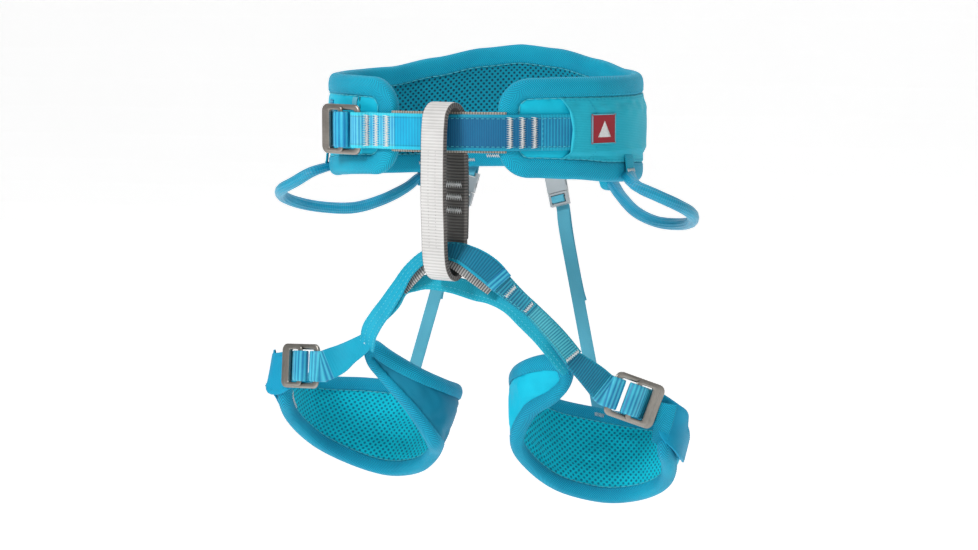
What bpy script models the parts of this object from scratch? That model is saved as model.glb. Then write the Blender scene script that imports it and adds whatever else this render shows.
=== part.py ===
"""Climbing harness: waist belt, belay loop, leg bridge, two leg loops, gear loops.

Metres, +Z up, wearer faces -Y, wearer's left is +X.  The origin is the centre
of the waist ring at the height of the belt webbing.  Point tables are in
millimetres and are scaled by MM when a mesh is made.
"""
import math

import bpy
from mathutils import Matrix, Vector

MM = 0.001

# ---- driving dimensions, millimetres ----------------------------------------
RING_X = 109.5          # half width of the waist pad's middle surface
RING_Y = 88.0           # half depth of the same surface
WAIST_END = 159.8       # angle of each pad end from the back, degrees
WAIST_CORNER = 20.0     # corner radius of the pad ends
FOAM_HALF = 1.8         # half thickness of the foam
SKIN_IN = 2.1           # outer fabric and lining: near face from the middle
SKIN_OUT = 3.2          # and far face
LEG_SKIN_OUT = 3.0      # far face on the leg pads, which curve more tightly
BIND_IN = 3.7           # binding tape: inner face from the middle surface
BIND_OUT = 4.8          # and outer face
EDGE_GAP = 0.8          # pad layers end this far inside the binding's fold
WAIST_BIND = 12.0       # visible width of the waist binding
LEG_BIND = 9.0          # visible width of the leg binding
BELT_WEB = 25.0         # belt webbing width
LEG_WEB = 22.0          # leg webbing width
WEB_THICK = 1.7         # webbing thickness
BELT_Z = 2.0            # height of the belt webbing's centre line
BELAY_WIDTH = 20.5      # belay loop tape width
BELAY_THICK = 3.6       # three layers sewn together
BELAY_TURN = -20.0      # the loop's plane is turned this far about Z, degrees
RISER_WIDTH = 10.0      # rear elastic width
GEAR_TUBE = 4.3         # gear loop outer radius
GEAR_CORE = 2.6         # gear loop core radius
WAIST_BUCKLE_AT = -138.0   # angle of the waist buckle from the back, degrees
WAIST_BUCKLE_LIFT = 10.0   # its rear end is turned this far off the pad, degrees
LEG_CORNER = 10.0

# height of the waist pad's edges against the angle from the back
WAIST_TOP = [(0, 57), (16, 54), (35, 47), (55, 40.5), (78, 39), (97, 38), (136, 38), (160, 37)]
WAIST_LOW = [(0, -32), (20, -32.5), (40, -36.5), (52, -36.5), (85, -35), (100, -33.5), (113, -32.5),
             (131, -29.5), (147, -28), (160, -28)]

# leg pad edges from the inner front end round the back to the outer front end:
# x away from the middle, y, z of the wearer's right leg, z of the left leg
LEG_TOP = [(74, -46, -150, -160), (58, -43, -161, -158), (38, -33, -173, -164),
           (24, -12, -184, -174), (22, 12, -192, -188), (42, 36, -198, -203),
           (76, 50, -198, -211), (112, 46, -196, -214), (140, 26, -193, -212),
           (150, 0, -184, -206), (148, -20, -170, -200)]
LEG_LOW = [(80, -43, -165, -174), (64, -41, -183, -190), (44, -38, -205, -203),
           (30, -28, -228, -226), (34, -8, -240, -246), (52, 10, -256, -264),
           (82, 24, -263, -273), (112, 20, -256, -269), (136, 2, -240, -256),
           (146, -24, -218, -237), (146, -44, -196, -219)]

# ---- colours ------------------------------------------------------------------
AQUA = (0.0, 0.36, 0.58, 1)
AQUA_DEEP = (0.0, 0.20, 0.42, 1)
AQUA_LIGHT = (0.08, 0.50, 0.66, 1)
FOAM_GREY = (0.25, 0.27, 0.29, 1)
STEEL = (0.45, 0.42, 0.40, 1)
STONE = (0.62, 0.60, 0.57, 1)
PALE_GREY = (0.55, 0.56, 0.58, 1)
RED = (0.55, 0.02, 0.03, 1)

HARNESS = None


# ---- scene and mesh helpers ---------------------------------------------------
def start_scene():
    """Empty the scene and make the harness collection."""
    global HARNESS
    for thing in list(bpy.data.objects):
        bpy.data.objects.remove(thing, do_unlink=True)
    bpy.context.scene.unit_settings.system = 'METRIC'
    HARNESS = bpy.data.collections.new("climbing_harness")
    bpy.context.scene.collection.children.link(HARNESS)


def material(name, colour, metal=0.0, rough=0.8):
    mat = bpy.data.materials.new(name)
    mat.use_nodes = True
    shader = mat.node_tree.nodes["Principled BSDF"]
    shader.inputs["Base Color"].default_value = colour
    shader.inputs["Metallic"].default_value = metal
    shader.inputs["Roughness"].default_value = rough
    return mat


def add_mesh(name, points, faces, colour, metal=0.0, rough=0.8):
    """Make one closed object, normals outward, from millimetre points."""
    mesh = bpy.data.meshes.new(name)
    mesh.from_pydata([p * MM for p in points], [], faces)
    mesh.update()
    if signed_volume(mesh) < 0:
        mesh.flip_normals()
    mesh.materials.append(material(name + "_mat", colour, metal, rough))
    made = bpy.data.objects.new(name, mesh)
    HARNESS.objects.link(made)
    return made


def signed_volume(mesh):
    total = 0.0
    for face in mesh.polygons:
        first = mesh.vertices[face.vertices[0]].co
        for i in range(1, len(face.vertices) - 1):
            second = mesh.vertices[face.vertices[i]].co
            third = mesh.vertices[face.vertices[i + 1]].co
            total += first.dot(second.cross(third))
    return total


def skin(name, rings, colour, closed=False, metal=0.0, rough=0.8, flat_caps=False):
    """Join equal rings of points into one closed body.

    closed joins the last ring to the first.  Open ends are capped: with one face
    when flat_caps is set, otherwise with a strip across the slab.
    """
    size = len(rings[0])
    points = [p for ring in rings for p in ring]
    faces = []
    spans = len(rings) if closed else len(rings) - 1
    for i in range(spans):
        here = i * size
        there = ((i + 1) % len(rings)) * size
        for j in range(size):
            k = (j + 1) % size
            faces += split_quad(here + j, here + k, there + k, there + j, j < size // 2)
    if not closed:
        last = (len(rings) - 1) * size
        faces += cap(0, size, flat_caps, True)
        faces += cap(last, size, flat_caps, False)
    return add_mesh(name, points, faces, colour, metal, rough)


def split_quad(a, b, c, d, first):
    """Two triangles; facing layers get the same diagonal from opposite halves."""
    if first:
        return [(a, b, c), (a, c, d)]
    return [(a, b, d), (b, c, d)]


def cap(start, size, flat, reverse):
    if flat:
        loops = [tuple(start + j for j in range(size))]
    else:
        loops = []
        for j in range(size // 2 - 1):
            far = size - 1 - j
            loops.append((start + j, start + j + 1, start + far - 1, start + far))
    if reverse:
        loops = [tuple(reversed(loop)) for loop in loops]
    return loops


# ---- curve helpers ------------------------------------------------------------
def spline(points, steps, closed=False):
    """Catmull-Rom through the points with the given steps per span."""
    points = [Vector(p) for p in points]
    count = len(points)
    out = []
    for i in range(count if closed else count - 1):
        p1 = points[i]
        p2 = points[(i + 1) % count]
        p0 = points[i - 1] if closed or i > 0 else 2 * p1 - p2
        p3 = points[(i + 2) % count] if closed or i + 2 < count else 2 * p2 - p1
        for k in range(steps):
            t = k / steps
            out.append(0.5 * (2 * p1 + (p2 - p0) * t
                              + (2 * p0 - 5 * p1 + 4 * p2 - p3) * t * t
                              + (3 * p1 - p0 - 3 * p2 + p3) * t * t * t))
    if not closed:
        out.append(points[-1])
    return out


def table(rows, x):
    """Smoothed look-up in (x, value) rows."""
    x = min(max(x, rows[0][0]), rows[-1][0])
    for i in range(len(rows) - 1):
        if x <= rows[i + 1][0]:
            break
    x1, y1 = rows[i]
    x2, y2 = rows[i + 1]
    t = (x - x1) / (x2 - x1)
    return y1 + (y2 - y1) * (t * t * (3 - 2 * t) * 0.5 + t * 0.5)


def tangents(points, closed=False):
    out = []
    count = len(points)
    for i in range(count):
        ahead = points[(i + 1) % count] if closed or i + 1 < count else points[i]
        behind = points[i - 1] if closed or i > 0 else points[i]
        out.append((ahead - behind).normalized())
    return out


# ---- straps and tubes ---------------------------------------------------------
def ribbon(name, rows, width, thick, colour, steps=2, closed=False, rough=0.8):
    """Flat tape through rows of (point, across), across being the width direction.

    width may be one number or one number per row.
    """
    path = spline([row[0] for row in rows], steps, closed)
    across = spline([row[1] for row in rows], steps, closed)
    if not isinstance(width, (list, tuple)):
        width = [width] * len(rows)
    widths = spline([Vector((w, 0, 0)) for w in width], steps, closed)
    rings = []
    for point, side, wide, along in zip(path, across, widths, tangents(path, closed)):
        side = (side - side.dot(along) * along).normalized()
        up = along.cross(side)
        rings.append(tape_ring(point, side, up, wide.x / 2, thick / 2))
    return skin(name, rings, colour, closed, rough=rough)


def tape_ring(point, side, up, half, deep):
    """Six-sided tape section with its edges brought to a soft ridge."""
    lip = deep * 0.8
    return [point + side * half,
            point + side * (half - lip) + up * deep,
            point - side * (half - lip) + up * deep,
            point - side * half,
            point - side * (half - lip) - up * deep,
            point + side * (half - lip) - up * deep]


def tube_rings(path, radius, sides, flat=None, pick=None):
    """Round sections along a path; flat squeezes the section near the ends."""
    rings = []
    down = Vector((0, 0, 1))
    for i, (point, along) in enumerate(zip(path, tangents(path))):
        side = along.cross(down).normalized()
        up = side.cross(along)
        squash = flat[i] if flat else 1.0
        ring = []
        for k in range(sides):
            a = 2 * math.pi * k / sides
            ring.append(point + side * math.cos(a) * radius / squash + up * math.sin(a) * radius * squash)
        rings.append(ring)
    return rings


def plate_ring(name, frame, outer, inner, low, high, colour, corner, chamfer=0.5):
    """Flat metal ring between two rounded rectangles, given as (p0, p1, half r)."""
    out = rounded_rect(outer[0], outer[1], outer[2], corner)
    hole = rounded_rect(inner[0], inner[1], inner[2], corner * 0.35)
    rings = []
    for (po, ro), (pi, ri) in zip(out, hole):
        edge = Vector((pi - po, ri - ro, 0)).normalized() * chamfer
        section = [(po, ro, low + chamfer), (po, ro, high - chamfer),
                   (po + edge.x, ro + edge.y, high), (pi - edge.x, ri - edge.y, high),
                   (pi, ri, high - chamfer), (pi, ri, low + chamfer),
                   (pi - edge.x, ri - edge.y, low), (po + edge.x, ro + edge.y, low)]
        rings.append([frame.at(p, q, r) for p, r, q in section])
    return skin(name, rings, colour, closed=True, metal=1.0, rough=0.32)


def rounded_rect(p0, p1, half, radius, steps=3):
    """Rounded rectangle outline as (p, r) points, the same count at any size."""
    out = []
    centres = [(p1 - radius, half - radius, 0), (p0 + radius, half - radius, 90),
               (p0 + radius, radius - half, 180), (p1 - radius, radius - half, 270)]
    for cp, cr, start in centres:
        for k in range(steps + 1):
            a = math.radians(start + 90 * k / steps)
            out.append((cp + radius * math.cos(a), cr + radius * math.sin(a)))
    return out


class Frame:
    """Local axes: p along the strap, q outward, r across."""

    def __init__(self, origin, p, q):
        self.origin = Vector(origin)
        self.p = Vector(p).normalized()
        self.q = Vector(q)
        self.q = (self.q - self.q.dot(self.p) * self.p).normalized()
        self.r = self.p.cross(self.q)

    def at(self, p, q, r=0.0):
        return self.origin + self.p * p + self.q * q + self.r * r


# ---- padded bands -------------------------------------------------------------
class Band:
    """A padded band between a low and a high edge, with a rounded end each side.

    Points are asked for by a, the run along the middle in mm, w, -1 low edge to
    1 high edge, and out, the distance from the middle surface.
    """

    def __init__(self, low, high, centre, belly, corner, inner_stations, shift=0.0):
        self.low = low
        self.high = high
        self.belly = belly
        self.shift = shift
        self.corner = corner
        middle = [(a + b) / 2 for a, b in zip(low, high)]
        self.run = [0.0]
        for a, b in zip(middle, middle[1:]):
            self.run.append(self.run[-1] + (b - a).length)
        self.length = self.run[-1]
        along = tangents(middle)
        self.along = along
        self.out = []
        for i, mid in enumerate(middle):
            face = along[i].cross(high[i] - low[i]).normalized()
            if face.dot(mid - centre) < 0:
                face = -face
            self.out.append(face)
        span = self.length - 2 * corner
        self.stations = [corner + span * (k + 0.5) / inner_stations for k in range(inner_stations)]

    def find(self, a):
        a = min(max(a, 0.0), self.length)
        i = 0
        while i < len(self.run) - 2 and self.run[i + 1] < a:
            i += 1
        return i, (a - self.run[i]) / (self.run[i + 1] - self.run[i])

    def half(self, a):
        i, t = self.find(a)
        here = (self.high[i] - self.low[i]).length
        there = (self.high[i + 1] - self.low[i + 1]).length
        return (here + (there - here) * t) / 2

    def at(self, a, w, out=0.0):
        i, t = self.find(a)
        low = self.low[i].lerp(self.low[i + 1], t)
        high = self.high[i].lerp(self.high[i + 1], t)
        face = self.out[i].lerp(self.out[i + 1], t).normalized()
        past = a - min(max(a, 0.0), self.length)
        end = min(a, self.length - a)
        bulge = self.belly * max(0.0, 1 - w * w) * min(1.0, max(0.0, end / 40.0))
        point = (low + high) / 2 + (high - low) / 2 * w
        return point + face * (out + bulge + self.shift) + self.along[i] * past

    def corner_rows(self, inset):
        """(distance from the end, half height) round one corner, end first."""
        rows = []
        for degrees in (0, 30, 60):
            phi = math.radians(degrees)
            x = self.corner - (self.corner - inset) * math.cos(phi)
            drop = self.corner - (self.corner - inset) * math.sin(phi)
            rows.append((x, drop))
        return rows

    def rows(self, inset):
        """(a, w limit) from one end to the other for a layer inset from the edge."""
        start = []
        finish = []
        for x, drop in self.corner_rows(inset):
            start.append((x, (self.half(x) - drop) / self.half(x)))
            far = self.length - x
            finish.append((far, (self.half(far) - drop) / self.half(far)))
        middle = [(a, 1 - inset / self.half(a)) for a in self.stations]
        return start + middle + finish[::-1]

    def outline(self, inset):
        """Closed outline as (a, w), along the low edge and back along the high."""
        rows = self.rows(inset)
        return [(a, -w) for a, w in rows] + [(a, w) for a, w in reversed(rows)]

    def layer(self, name, near, far, colour, across=4):
        """One fabric or foam layer between two distances from the middle."""
        rings = []
        for a, limit in self.rows(EDGE_GAP):
            steps = [limit * (2 * k / (across - 1) - 1) for k in range(across)]
            top = [self.at(a, w, far) for w in steps]
            under = [self.at(a, w, near) for w in reversed(steps)]
            rings.append(top + under)
        return skin(name, rings, colour)

    def binding(self, name, width, colour):
        """Tape folded over the whole edge, open towards the pad."""
        section = [(width, BIND_OUT - 0.3), (width * 0.45, BIND_OUT + 0.2), (0.6, BIND_OUT - 0.7),
                   (-1.3, 1.6), (-1.3, -1.6), (0.6, 0.7 - BIND_OUT), (width * 0.45, -BIND_OUT - 0.2),
                   (width, 0.3 - BIND_OUT), (width, -BIND_IN), (0.0, -BIND_IN),
                   (0.0, BIND_IN), (width, BIND_IN)]
        loops = [self.outline(inset) for inset, _ in section]
        rings = []
        for k in range(len(loops[0])):
            rings.append([self.at(loop[k][0], loop[k][1], out)
                          for loop, (_, out) in zip(loops, section)])
        return skin(name, rings, colour, closed=True)


# ---- waist belt ---------------------------------------------------------------
def ring_point(angle, z, out=0.0):
    """Point on the waist ring, angle in degrees from the back towards +X."""
    t = math.radians(angle)
    face = Vector((math.sin(t) / RING_X, math.cos(t) / RING_Y, 0)).normalized()
    return Vector((RING_X * math.sin(t), RING_Y * math.cos(t), z)) + face * out


def belt_row(angle, out, z=BELT_Z):
    return ring_point(angle, z, out), Vector((0, 0, 1))


def waist_band():
    low = []
    high = []
    count = 120
    for k in range(count + 1):
        angle = -WAIST_END + 2 * WAIST_END * k / count
        low.append(ring_point(angle, table(WAIST_LOW, abs(angle))))
        high.append(ring_point(angle, table(WAIST_TOP, abs(angle))))
    return Band(low, high, Vector((0, 0, 0)), 1.2, WAIST_CORNER, 27)


def build_waist_pad():
    band = waist_band()
    band.layer("waist_foam", -FOAM_HALF, FOAM_HALF, FOAM_GREY)
    band.layer("waist_shell", SKIN_IN, SKIN_OUT, AQUA)
    band.layer("waist_lining", -SKIN_OUT, -SKIN_IN, AQUA_DEEP)
    band.binding("waist_binding", WAIST_BIND, AQUA)


def waist_buckle_frame():
    """The buckle lies flat on the pad at its front end and stands off behind."""
    face = ring_point(WAIST_BUCKLE_AT, 0, 1) - ring_point(WAIST_BUCKLE_AT, 0)
    face = Matrix.Rotation(math.radians(WAIST_BUCKLE_LIFT), 3, 'Z') @ face
    front = Matrix.Rotation(math.radians(90), 3, 'Z') @ face
    return Frame(ring_point(WAIST_BUCKLE_AT, BELT_Z, 8.9), front, face)


def hump_rows(frame, points):
    """Rows of a strap seen edge on, from (p, q) points in a buckle frame."""
    across = frame.r if frame.r.z > 0 else -frame.r
    return [(frame.at(p, q), across) for p, q in points]


STRAP_WRAP = [(23, -0.6), (18, 1.0), (14.4, 2.3), (12.5, 4.4), (12.7, 7.0), (14.8, 8.6),
              (17.5, 8.9), (20.3, 8.5), (23.0, 5.9), (26.0, 2.6)]
ANCHOR_WRAP = [(-14, 0.6), (-6, 0.9), (2.0, 2.0), (6.6, 4.8), (7.7, 7.3), (6.6, 9.5),
               (4.0, 10.3), (0.2, 10.2), (-3.4, 8.4), (-7.0, 4.9), (-10.5, 3.1), (-15.5, 2.8)]


def build_buckle(prefix, frame, half, corner):
    """Outer steel frame and the smaller slider lying on it."""
    plate_ring(prefix + "_buckle_frame", frame, (-19, 20, half + 5.0), (-10, 15, half + 0.9),
               4.4, 6.5, STEEL, corner)
    plate_ring(prefix + "_buckle_slider", frame, (-14, 4.2, half + 3.4), (-9, 0.0, half + 0.9),
               6.9, 8.5, STEEL, 3.0)


def build_waist_webbing():
    frame = waist_buckle_frame()
    tail = [belt_row(-154.0, 6.3), belt_row(-151.5, 6.3)]
    wrap = hump_rows(frame, STRAP_WRAP)
    front = [belt_row(-154.0, 8.6), belt_row(-158.0, 8.4), belt_row(-163.0, 7.0),
             belt_row(-171.0, 5.9), belt_row(180.0, 5.2), belt_row(171.0, 5.9),
             belt_row(163.0, 7.0), belt_row(156.0, 7.1), belt_row(149.0, 6.3),
             belt_row(140.0, 6.2), belt_row(131.0, 6.1), belt_row(124.0, 6.1)]
    ribbon("waist_front_webbing", tail + wrap + front, BELT_WEB, WEB_THICK, AQUA_DEEP)
    anchor = hump_rows(frame, [(-19.0, 2.9)] + ANCHOR_WRAP[::-1])
    back = [belt_row(angle, 6.3 if angle < -110 else 5.7) for angle in range(-126, 120, 14)]
    ribbon("waist_back_webbing", anchor + back, BELT_WEB, WEB_THICK, AQUA_DEEP)
    tape = [belt_row(angle, out) for angle, out in
            ((-157.5, 5.6), (-163, 4.9), (-171, 3.8), (180, 3.4), (171, 3.8), (163, 4.9), (157.5, 5.6))]
    ribbon("waist_wear_tape", tape, 28.0, 0.8, STONE)
    build_buckle("waist", frame, BELT_WEB / 2, 5.5)


def ring_side(angle):
    return (ring_point(angle + 1, 0) - ring_point(angle - 1, 0)).normalized()


def build_keeper():
    """Elastic band over the back webbing behind the buckle."""
    rows = [(ring_point(-119, z, out), ring_side(-119)) for z, out in
            ((-17, 5.4), (-13.4, 5.6), (-12.6, 7.4), (-10, 8.2), (2, 8.5), (14, 8.2),
             (16.6, 7.4), (17.4, 5.6), (21, 5.4))]
    ribbon("waist_tail_keeper", rows, 9.0, 0.8, AQUA_DEEP, steps=1)


def build_sleeve():
    """Fabric panel sewn over the belt webbing on the wearer's left."""
    lift = [4.95, 5.1, 7.5, 7.7, 7.8, 7.7, 7.5, 5.2, 4.95]
    front = [136.0, 133.6, 131.8, 130.4, 130.0, 131.0, 132.6, 134.4, 137.0]
    rings = []
    spans = 12
    for k in range(spans + 1):
        u = k / spans
        top = []
        under = []
        for i in range(9):
            angle = front[i] + (80.0 - front[i]) * u
            z = sleeve_height(angle, i)
            drop = 0.5 * u if 1 < i < 7 else 0.0
            top.append(ring_point(angle, z, lift[i] + 0.5 - drop))
            under.append(ring_point(angle, z, lift[i] - 0.25 - drop))
        rings.append(top + under[::-1])
    skin("waist_sleeve", rings, AQUA)


def sleeve_height(angle, i):
    """Height of the sleeve's line i: edges follow the binding, the rest the webbing."""
    low = table(WAIST_LOW, abs(angle)) + WAIST_BIND + 0.9
    high = table(WAIST_TOP, abs(angle)) - WAIST_BIND - 0.9
    near = BELT_Z - BELT_WEB / 2 - 1.3
    far = BELT_Z + BELT_WEB / 2 + 1.3
    return [low, (low + near) / 2, near, -5.0, BELT_Z, 9.0, far, (high + far) / 2, high][i]


def build_label():
    """Small woven label standing just proud of the sleeve."""
    rings = []
    for k in range(6):
        angle = 124.5 - 12.5 * k / 5
        rings.append([ring_point(angle, z, out) for z, out in
                      ((-9.5, 8.75), (11.5, 8.75), (11.5, 9.25), (-9.5, 9.25))])
    skin("waist_label", rings, RED)


# ---- gear loops ---------------------------------------------------------------
# x away from the middle, y, z of the wearer's right loop, z of the left loop
GEAR_PATH = [(114, -33, -26, -31), (121, -33, -32, -36), (136, -31, -40, -43), (149, -23, -46, -50),
             (155, -8, -52, -57), (151, 9, -58, -64), (137, 28, -63, -68), (117, 42, -64, -68),
             (98, 54, -58, -62), (83, 66, -49, -51), (75.5, 71.5, -42, -43)]


def gear_path(side):
    return spline([(side * x, y, right if side < 0 else left) for x, y, right, left in GEAR_PATH], 3)


def build_gear_loop(side, word):
    path = gear_path(side)
    count = len(path)
    flat = [1.0 - 0.28 * max(0.0, 1 - min(i, count - 1 - i) / 5) for i in range(count)]
    core = tube_rings(path[2:-2], GEAR_CORE, 8, flat[2:-2])
    skin("gear_core_" + word, core, FOAM_GREY, flat_caps=True)
    outer = tube_rings(path, GEAR_TUBE, 10, flat)
    inner = tube_rings(path, GEAR_CORE + 0.45, 10, flat)
    open_tube("gear_tube_" + word, outer, inner, AQUA)


def open_tube(name, outer, inner, colour):
    """Tube open at both ends: outside along the path, back along the inside."""
    size = len(outer[0])
    around = []
    for k in range(size):
        line = [ring[k] for ring in outer] + [ring[k] for ring in reversed(inner)]
        around.append(line)
    return skin(name, around, colour, closed=True)


def build_gear_tab(side, word):
    """Short webbing tab sewn over the lower binding beside the loop's front end."""
    angle = side * 103.0
    rows = [(ring_point(angle, z, out), ring_side(angle)) for z, out in
            ((-18.5, 6.4), (-23.5, 6.6), (-28.5, 6.6))]
    ribbon("gear_tab_" + word, rows, 9.0, 1.2, AQUA, steps=1)


# ---- belay loop and leg bridge --------------------------------------------------
BELAY_AT = Vector((0.8, -91.8, 0))
BELAY_PATH = [(-11.0, 6), (-12.0, -16), (-12.2, -42), (-11.4, -66), (-10.6, -82), (-8.8, -91), (-5.0, -96.5),
              (0, -98.4), (5.0, -96.5), (8.8, -91), (10.4, -82), (10.8, -66), (11.2, -42), (11.0, -16),
              (10.4, 6), (8.4, 15.0), (3.0, 20.0), (-3.5, 20.4), (-9.0, 15.6)]
BELAY_LAP = [(13.8, -14), (14.3, -30), (14.4, -46), (14.1, -60), (13.6, -72)]


def build_belay_loop():
    turn = Matrix.Rotation(math.radians(BELAY_TURN), 3, 'Z')
    side = turn @ Vector((1, 0, 0))
    rows = [(BELAY_AT + turn @ Vector((0, y, z)), side) for y, z in BELAY_PATH]
    ribbon("belay_loop", rows, BELAY_WIDTH, BELAY_THICK, STONE, closed=True)
    lap = [(BELAY_AT + turn @ Vector((0, y, z)), side) for y, z in BELAY_LAP]
    ribbon("belay_loop_lap", lap, BELAY_WIDTH - 1.0, 1.5, PALE_GREY)


# leg bridge, from the wearer's right leg strap through the belay loop to the left:
# point, width direction, width
BRIDGE = [((-58, -65.5, -142.5), (0.50, 0.62, 0.20), 21), ((-50, -72.5, -133), (0.50, 0.62, 0.24), 21),
          ((-41, -80, -122), (0.46, 0.64, 0.34), 21), ((-30, -87.0, -108.5), (0.30, 0.68, 0.50), 20),
          ((-20, -89.0, -93.8), (0.15, 0.60, 0.70), 16), ((-10, -89.2, -84.0), (0.05, 0.52, 0.85), 13.5),
          ((1, -91.2, -80.8), (0.0, 0.54, 0.84), 14), ((12, -92.6, -83.2), (0.2, 0.58, 0.80), 15),
          ((21, -92.0, -88.0), (0.4, 0.56, 0.72), 18), ((31, -91, -94.5), (0.52, 0.52, 0.66), 20),
          ((41, -90.3, -102.5), (0.60, 0.46, 0.64), 21), ((52, -90.2, -112), (0.62, 0.40, 0.66), 22),
          ((62, -90.2, -121), (0.62, 0.36, 0.66), 22), ((74, -89.4, -132.5), (0.60, 0.34, 0.68), 22)]
CROSS_ARCH = [((-26.5, -84.6, -113.6), (0.28, 0.52, 0.80), 11), ((-15, -82.0, -106.5), (0.08, 0.15, 0.98), 12),
              ((2, -81.0, -104.0), (0, 0.10, 1), 12), ((20, -81.0, -105.8), (-0.05, 0.12, 1), 12),
              ((34, -84.0, -109.5), (0.25, 0.28, 0.90), 12)]


def bridge_rows(picked, behind, slip):
    """Rows of a layer behind the bridge webbing, slipped towards its lower edge."""
    path = [Vector(point) for point, _, _ in BRIDGE]
    along = tangents(path)
    rows = []
    for i in picked:
        side = Vector(BRIDGE[i][1])
        side = (side - side.dot(along[i]) * along[i]).normalized()
        face = along[i].cross(side)
        rows.append((path[i] - face * behind - side * slip, side))
    return rows


def build_bridge():
    rows = [(Vector(p), Vector(across)) for p, across, _ in BRIDGE]
    ribbon("bridge_webbing", rows, [wide for _, _, wide in BRIDGE], 1.6, AQUA_DEEP)
    wear = bridge_rows(range(4, 10), 2.3, 2.8)
    ribbon("bridge_wear_tape", wear, [8, 9, 10, 12, 14, 14], 0.9, STONE)
    left = bridge_rows(range(11, 14), 2.6, 2.5)
    right = bridge_rows(range(1, 3), 2.9, 1.5)
    arch = [(Vector(p), Vector(across)) for p, across, _ in CROSS_ARCH]
    widths = [18, 14] + [wide for _, _, wide in CROSS_ARCH] + [18, 20, 20]
    ribbon("bridge_cross_strap", right + arch + left, widths, 1.3, AQUA_LIGHT)


# ---- leg loops ------------------------------------------------------------------
def leg_band(side):
    pick = 2 if side < 0 else 3
    low = spline([(side * row[0], row[1], row[pick]) for row in LEG_LOW], 8)
    high = spline([(side * row[0], row[1], row[pick]) for row in LEG_TOP], 8)
    centre = Vector((side * 88, 0, -215))
    return Band(low, high, centre, 1.5, LEG_CORNER, 17, shift=-3.5)


LEG_BUCKLE = {
    -1: ((-121, -48, -172), (0.90, -0.42, 0.08), (-0.36, -0.90, 0.14)),
    1: ((123, -47, -184), (-0.75, -0.55, 0.36), (0.555, -0.763, -0.006)),
}
LEG_STRAP = {
    -1: [((-76, -57, -160.5), (0.30, 0.30, 0.80)), ((-87, -56.5, -166.5), (0.10, 0.10, 0.98))],
    1: [((86, -86.0, -145.5), (0.55, 0.30, 0.72)), ((96, -81.5, -155), (0.50, 0.25, 0.78))],
}
# the anchor strap widens as it turns round the pad's outer end
ANCHOR_BEND = {
    -1: [((-146.0, -39.5, -175.5), (0.05, 0.20, 0.97), 27), ((-152.0, -39.0, -177.5), (0.08, 0.36, 0.93), 33),
         ((-154.2, -33.5, -181.0), (0.06, 0.50, 0.86), 34)],
    1: [((143.5, -40.5, -197.0), (0.28, 0.10, 0.94), 27), ((149.0, -40.0, -201.0), (0.24, 0.28, 0.92), 32),
        ((151.5, -34.5, -206.0), (0.06, 0.50, 0.86), 34)],
}


def leg_strap_rows(side, frame):
    """Leg strap from under the bridge webbing, round the buckle bar and back."""
    start = bridge_rows((12, 13), 4.6, 0.0) if side > 0 else bridge_rows((0,), 2.4, 0.5)
    rows = [(Vector(p), Vector(across)) for p, across in LEG_STRAP[side]]
    wrap = hump_rows(frame, STRAP_WRAP[::-1] + [(29.0, -1.4), (35.0, -1.6)])
    return start + rows + wrap


def build_leg(side, word):
    band = leg_band(side)
    band.layer("leg_foam_" + word, -FOAM_HALF, FOAM_HALF, FOAM_GREY, across=7)
    band.layer("leg_shell_" + word, SKIN_IN, LEG_SKIN_OUT, AQUA, across=7)
    band.layer("leg_lining_" + word, -LEG_SKIN_OUT, -SKIN_IN, AQUA_DEEP, across=7)
    band.binding("leg_binding_" + word, LEG_BIND, AQUA)
    origin, p, q = LEG_BUCKLE[side]
    frame = Frame(origin, p, q)
    build_buckle("leg_" + word, frame, LEG_WEB / 2, 5.0)
    rows = leg_strap_rows(side, frame)
    ribbon("leg_strap_" + word, rows, [14] + [LEG_WEB] * (len(rows) - 1), WEB_THICK, AQUA_DEEP)
    wrap = hump_rows(frame, [(-20.0, 2.8)] + ANCHOR_WRAP[::-1] + [(-20.0, 0.4)])
    rows = wrap + [(Vector(p), Vector(across)) for p, across, _ in ANCHOR_BEND[side]] + anchor_end(band)
    widths = [LEG_WEB] * len(wrap) + [wide for _, _, wide in ANCHOR_BEND[side]] + [32, 29, 26]
    ribbon("leg_anchor_" + word, rows, widths, WEB_THICK, AQUA)


def anchor_end(band):
    """Where the anchor strap lies on the outside of the pad's outer end."""
    rows = []
    for back, out in ((12, 8.4), (22, 7.6), (32, 7.3)):
        a = band.length - back
        across = band.at(a, 0.5) - band.at(a, -0.5)
        rows.append((band.at(a, 0.0, out), across))
    return rows


# ---- rear elastic risers ---------------------------------------------------------
RISER_TOP = {-1: (-38.0, 91.5, -26.0), 1: (22.0, 94.0, -26.0)}
RISER_LOW = {-1: (-79.0, 54.5, -203.0), 1: (72.0, 53.5, -214.0)}
STUB_PATH = [(-6, 0.2), (3, 0.0), (8.5, -1.6), (12.2, -3.7), (14.6, -3.7), (15.35, -1.8), (15.35, 0),
             (15.35, 1.8), (14.6, 3.7), (12.2, 3.9), (8, 2.7), (2, 1.9), (-3, 1.9)]


# free tail behind, up through the two slots round the middle bar, and down again
STRAP_FOLD = [(112, 5.2), (106, 3.2), (92, 2.2), (60, 3.0), (42, 6.0), (36.5, 6.3), (32.8, 5.6), (31.2, 3.7),
              (31.1, 1.4), (31.1, -1.4), (31.5, -3.5), (33.3, -4.1), (35.1, -3.5), (35.5, -1.4), (35.5, 1.5),
              (36.0, 3.6), (38.2, 4.3), (41.5, 3.8), (48, 1.6), (58, 0.2), (80, 0)]


def riser_frame(side):
    top = Vector(RISER_TOP[side])
    low = Vector(RISER_LOW[side])
    return Frame(top, low - top, Vector((0, 1, 0))), (low - top).length


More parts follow.
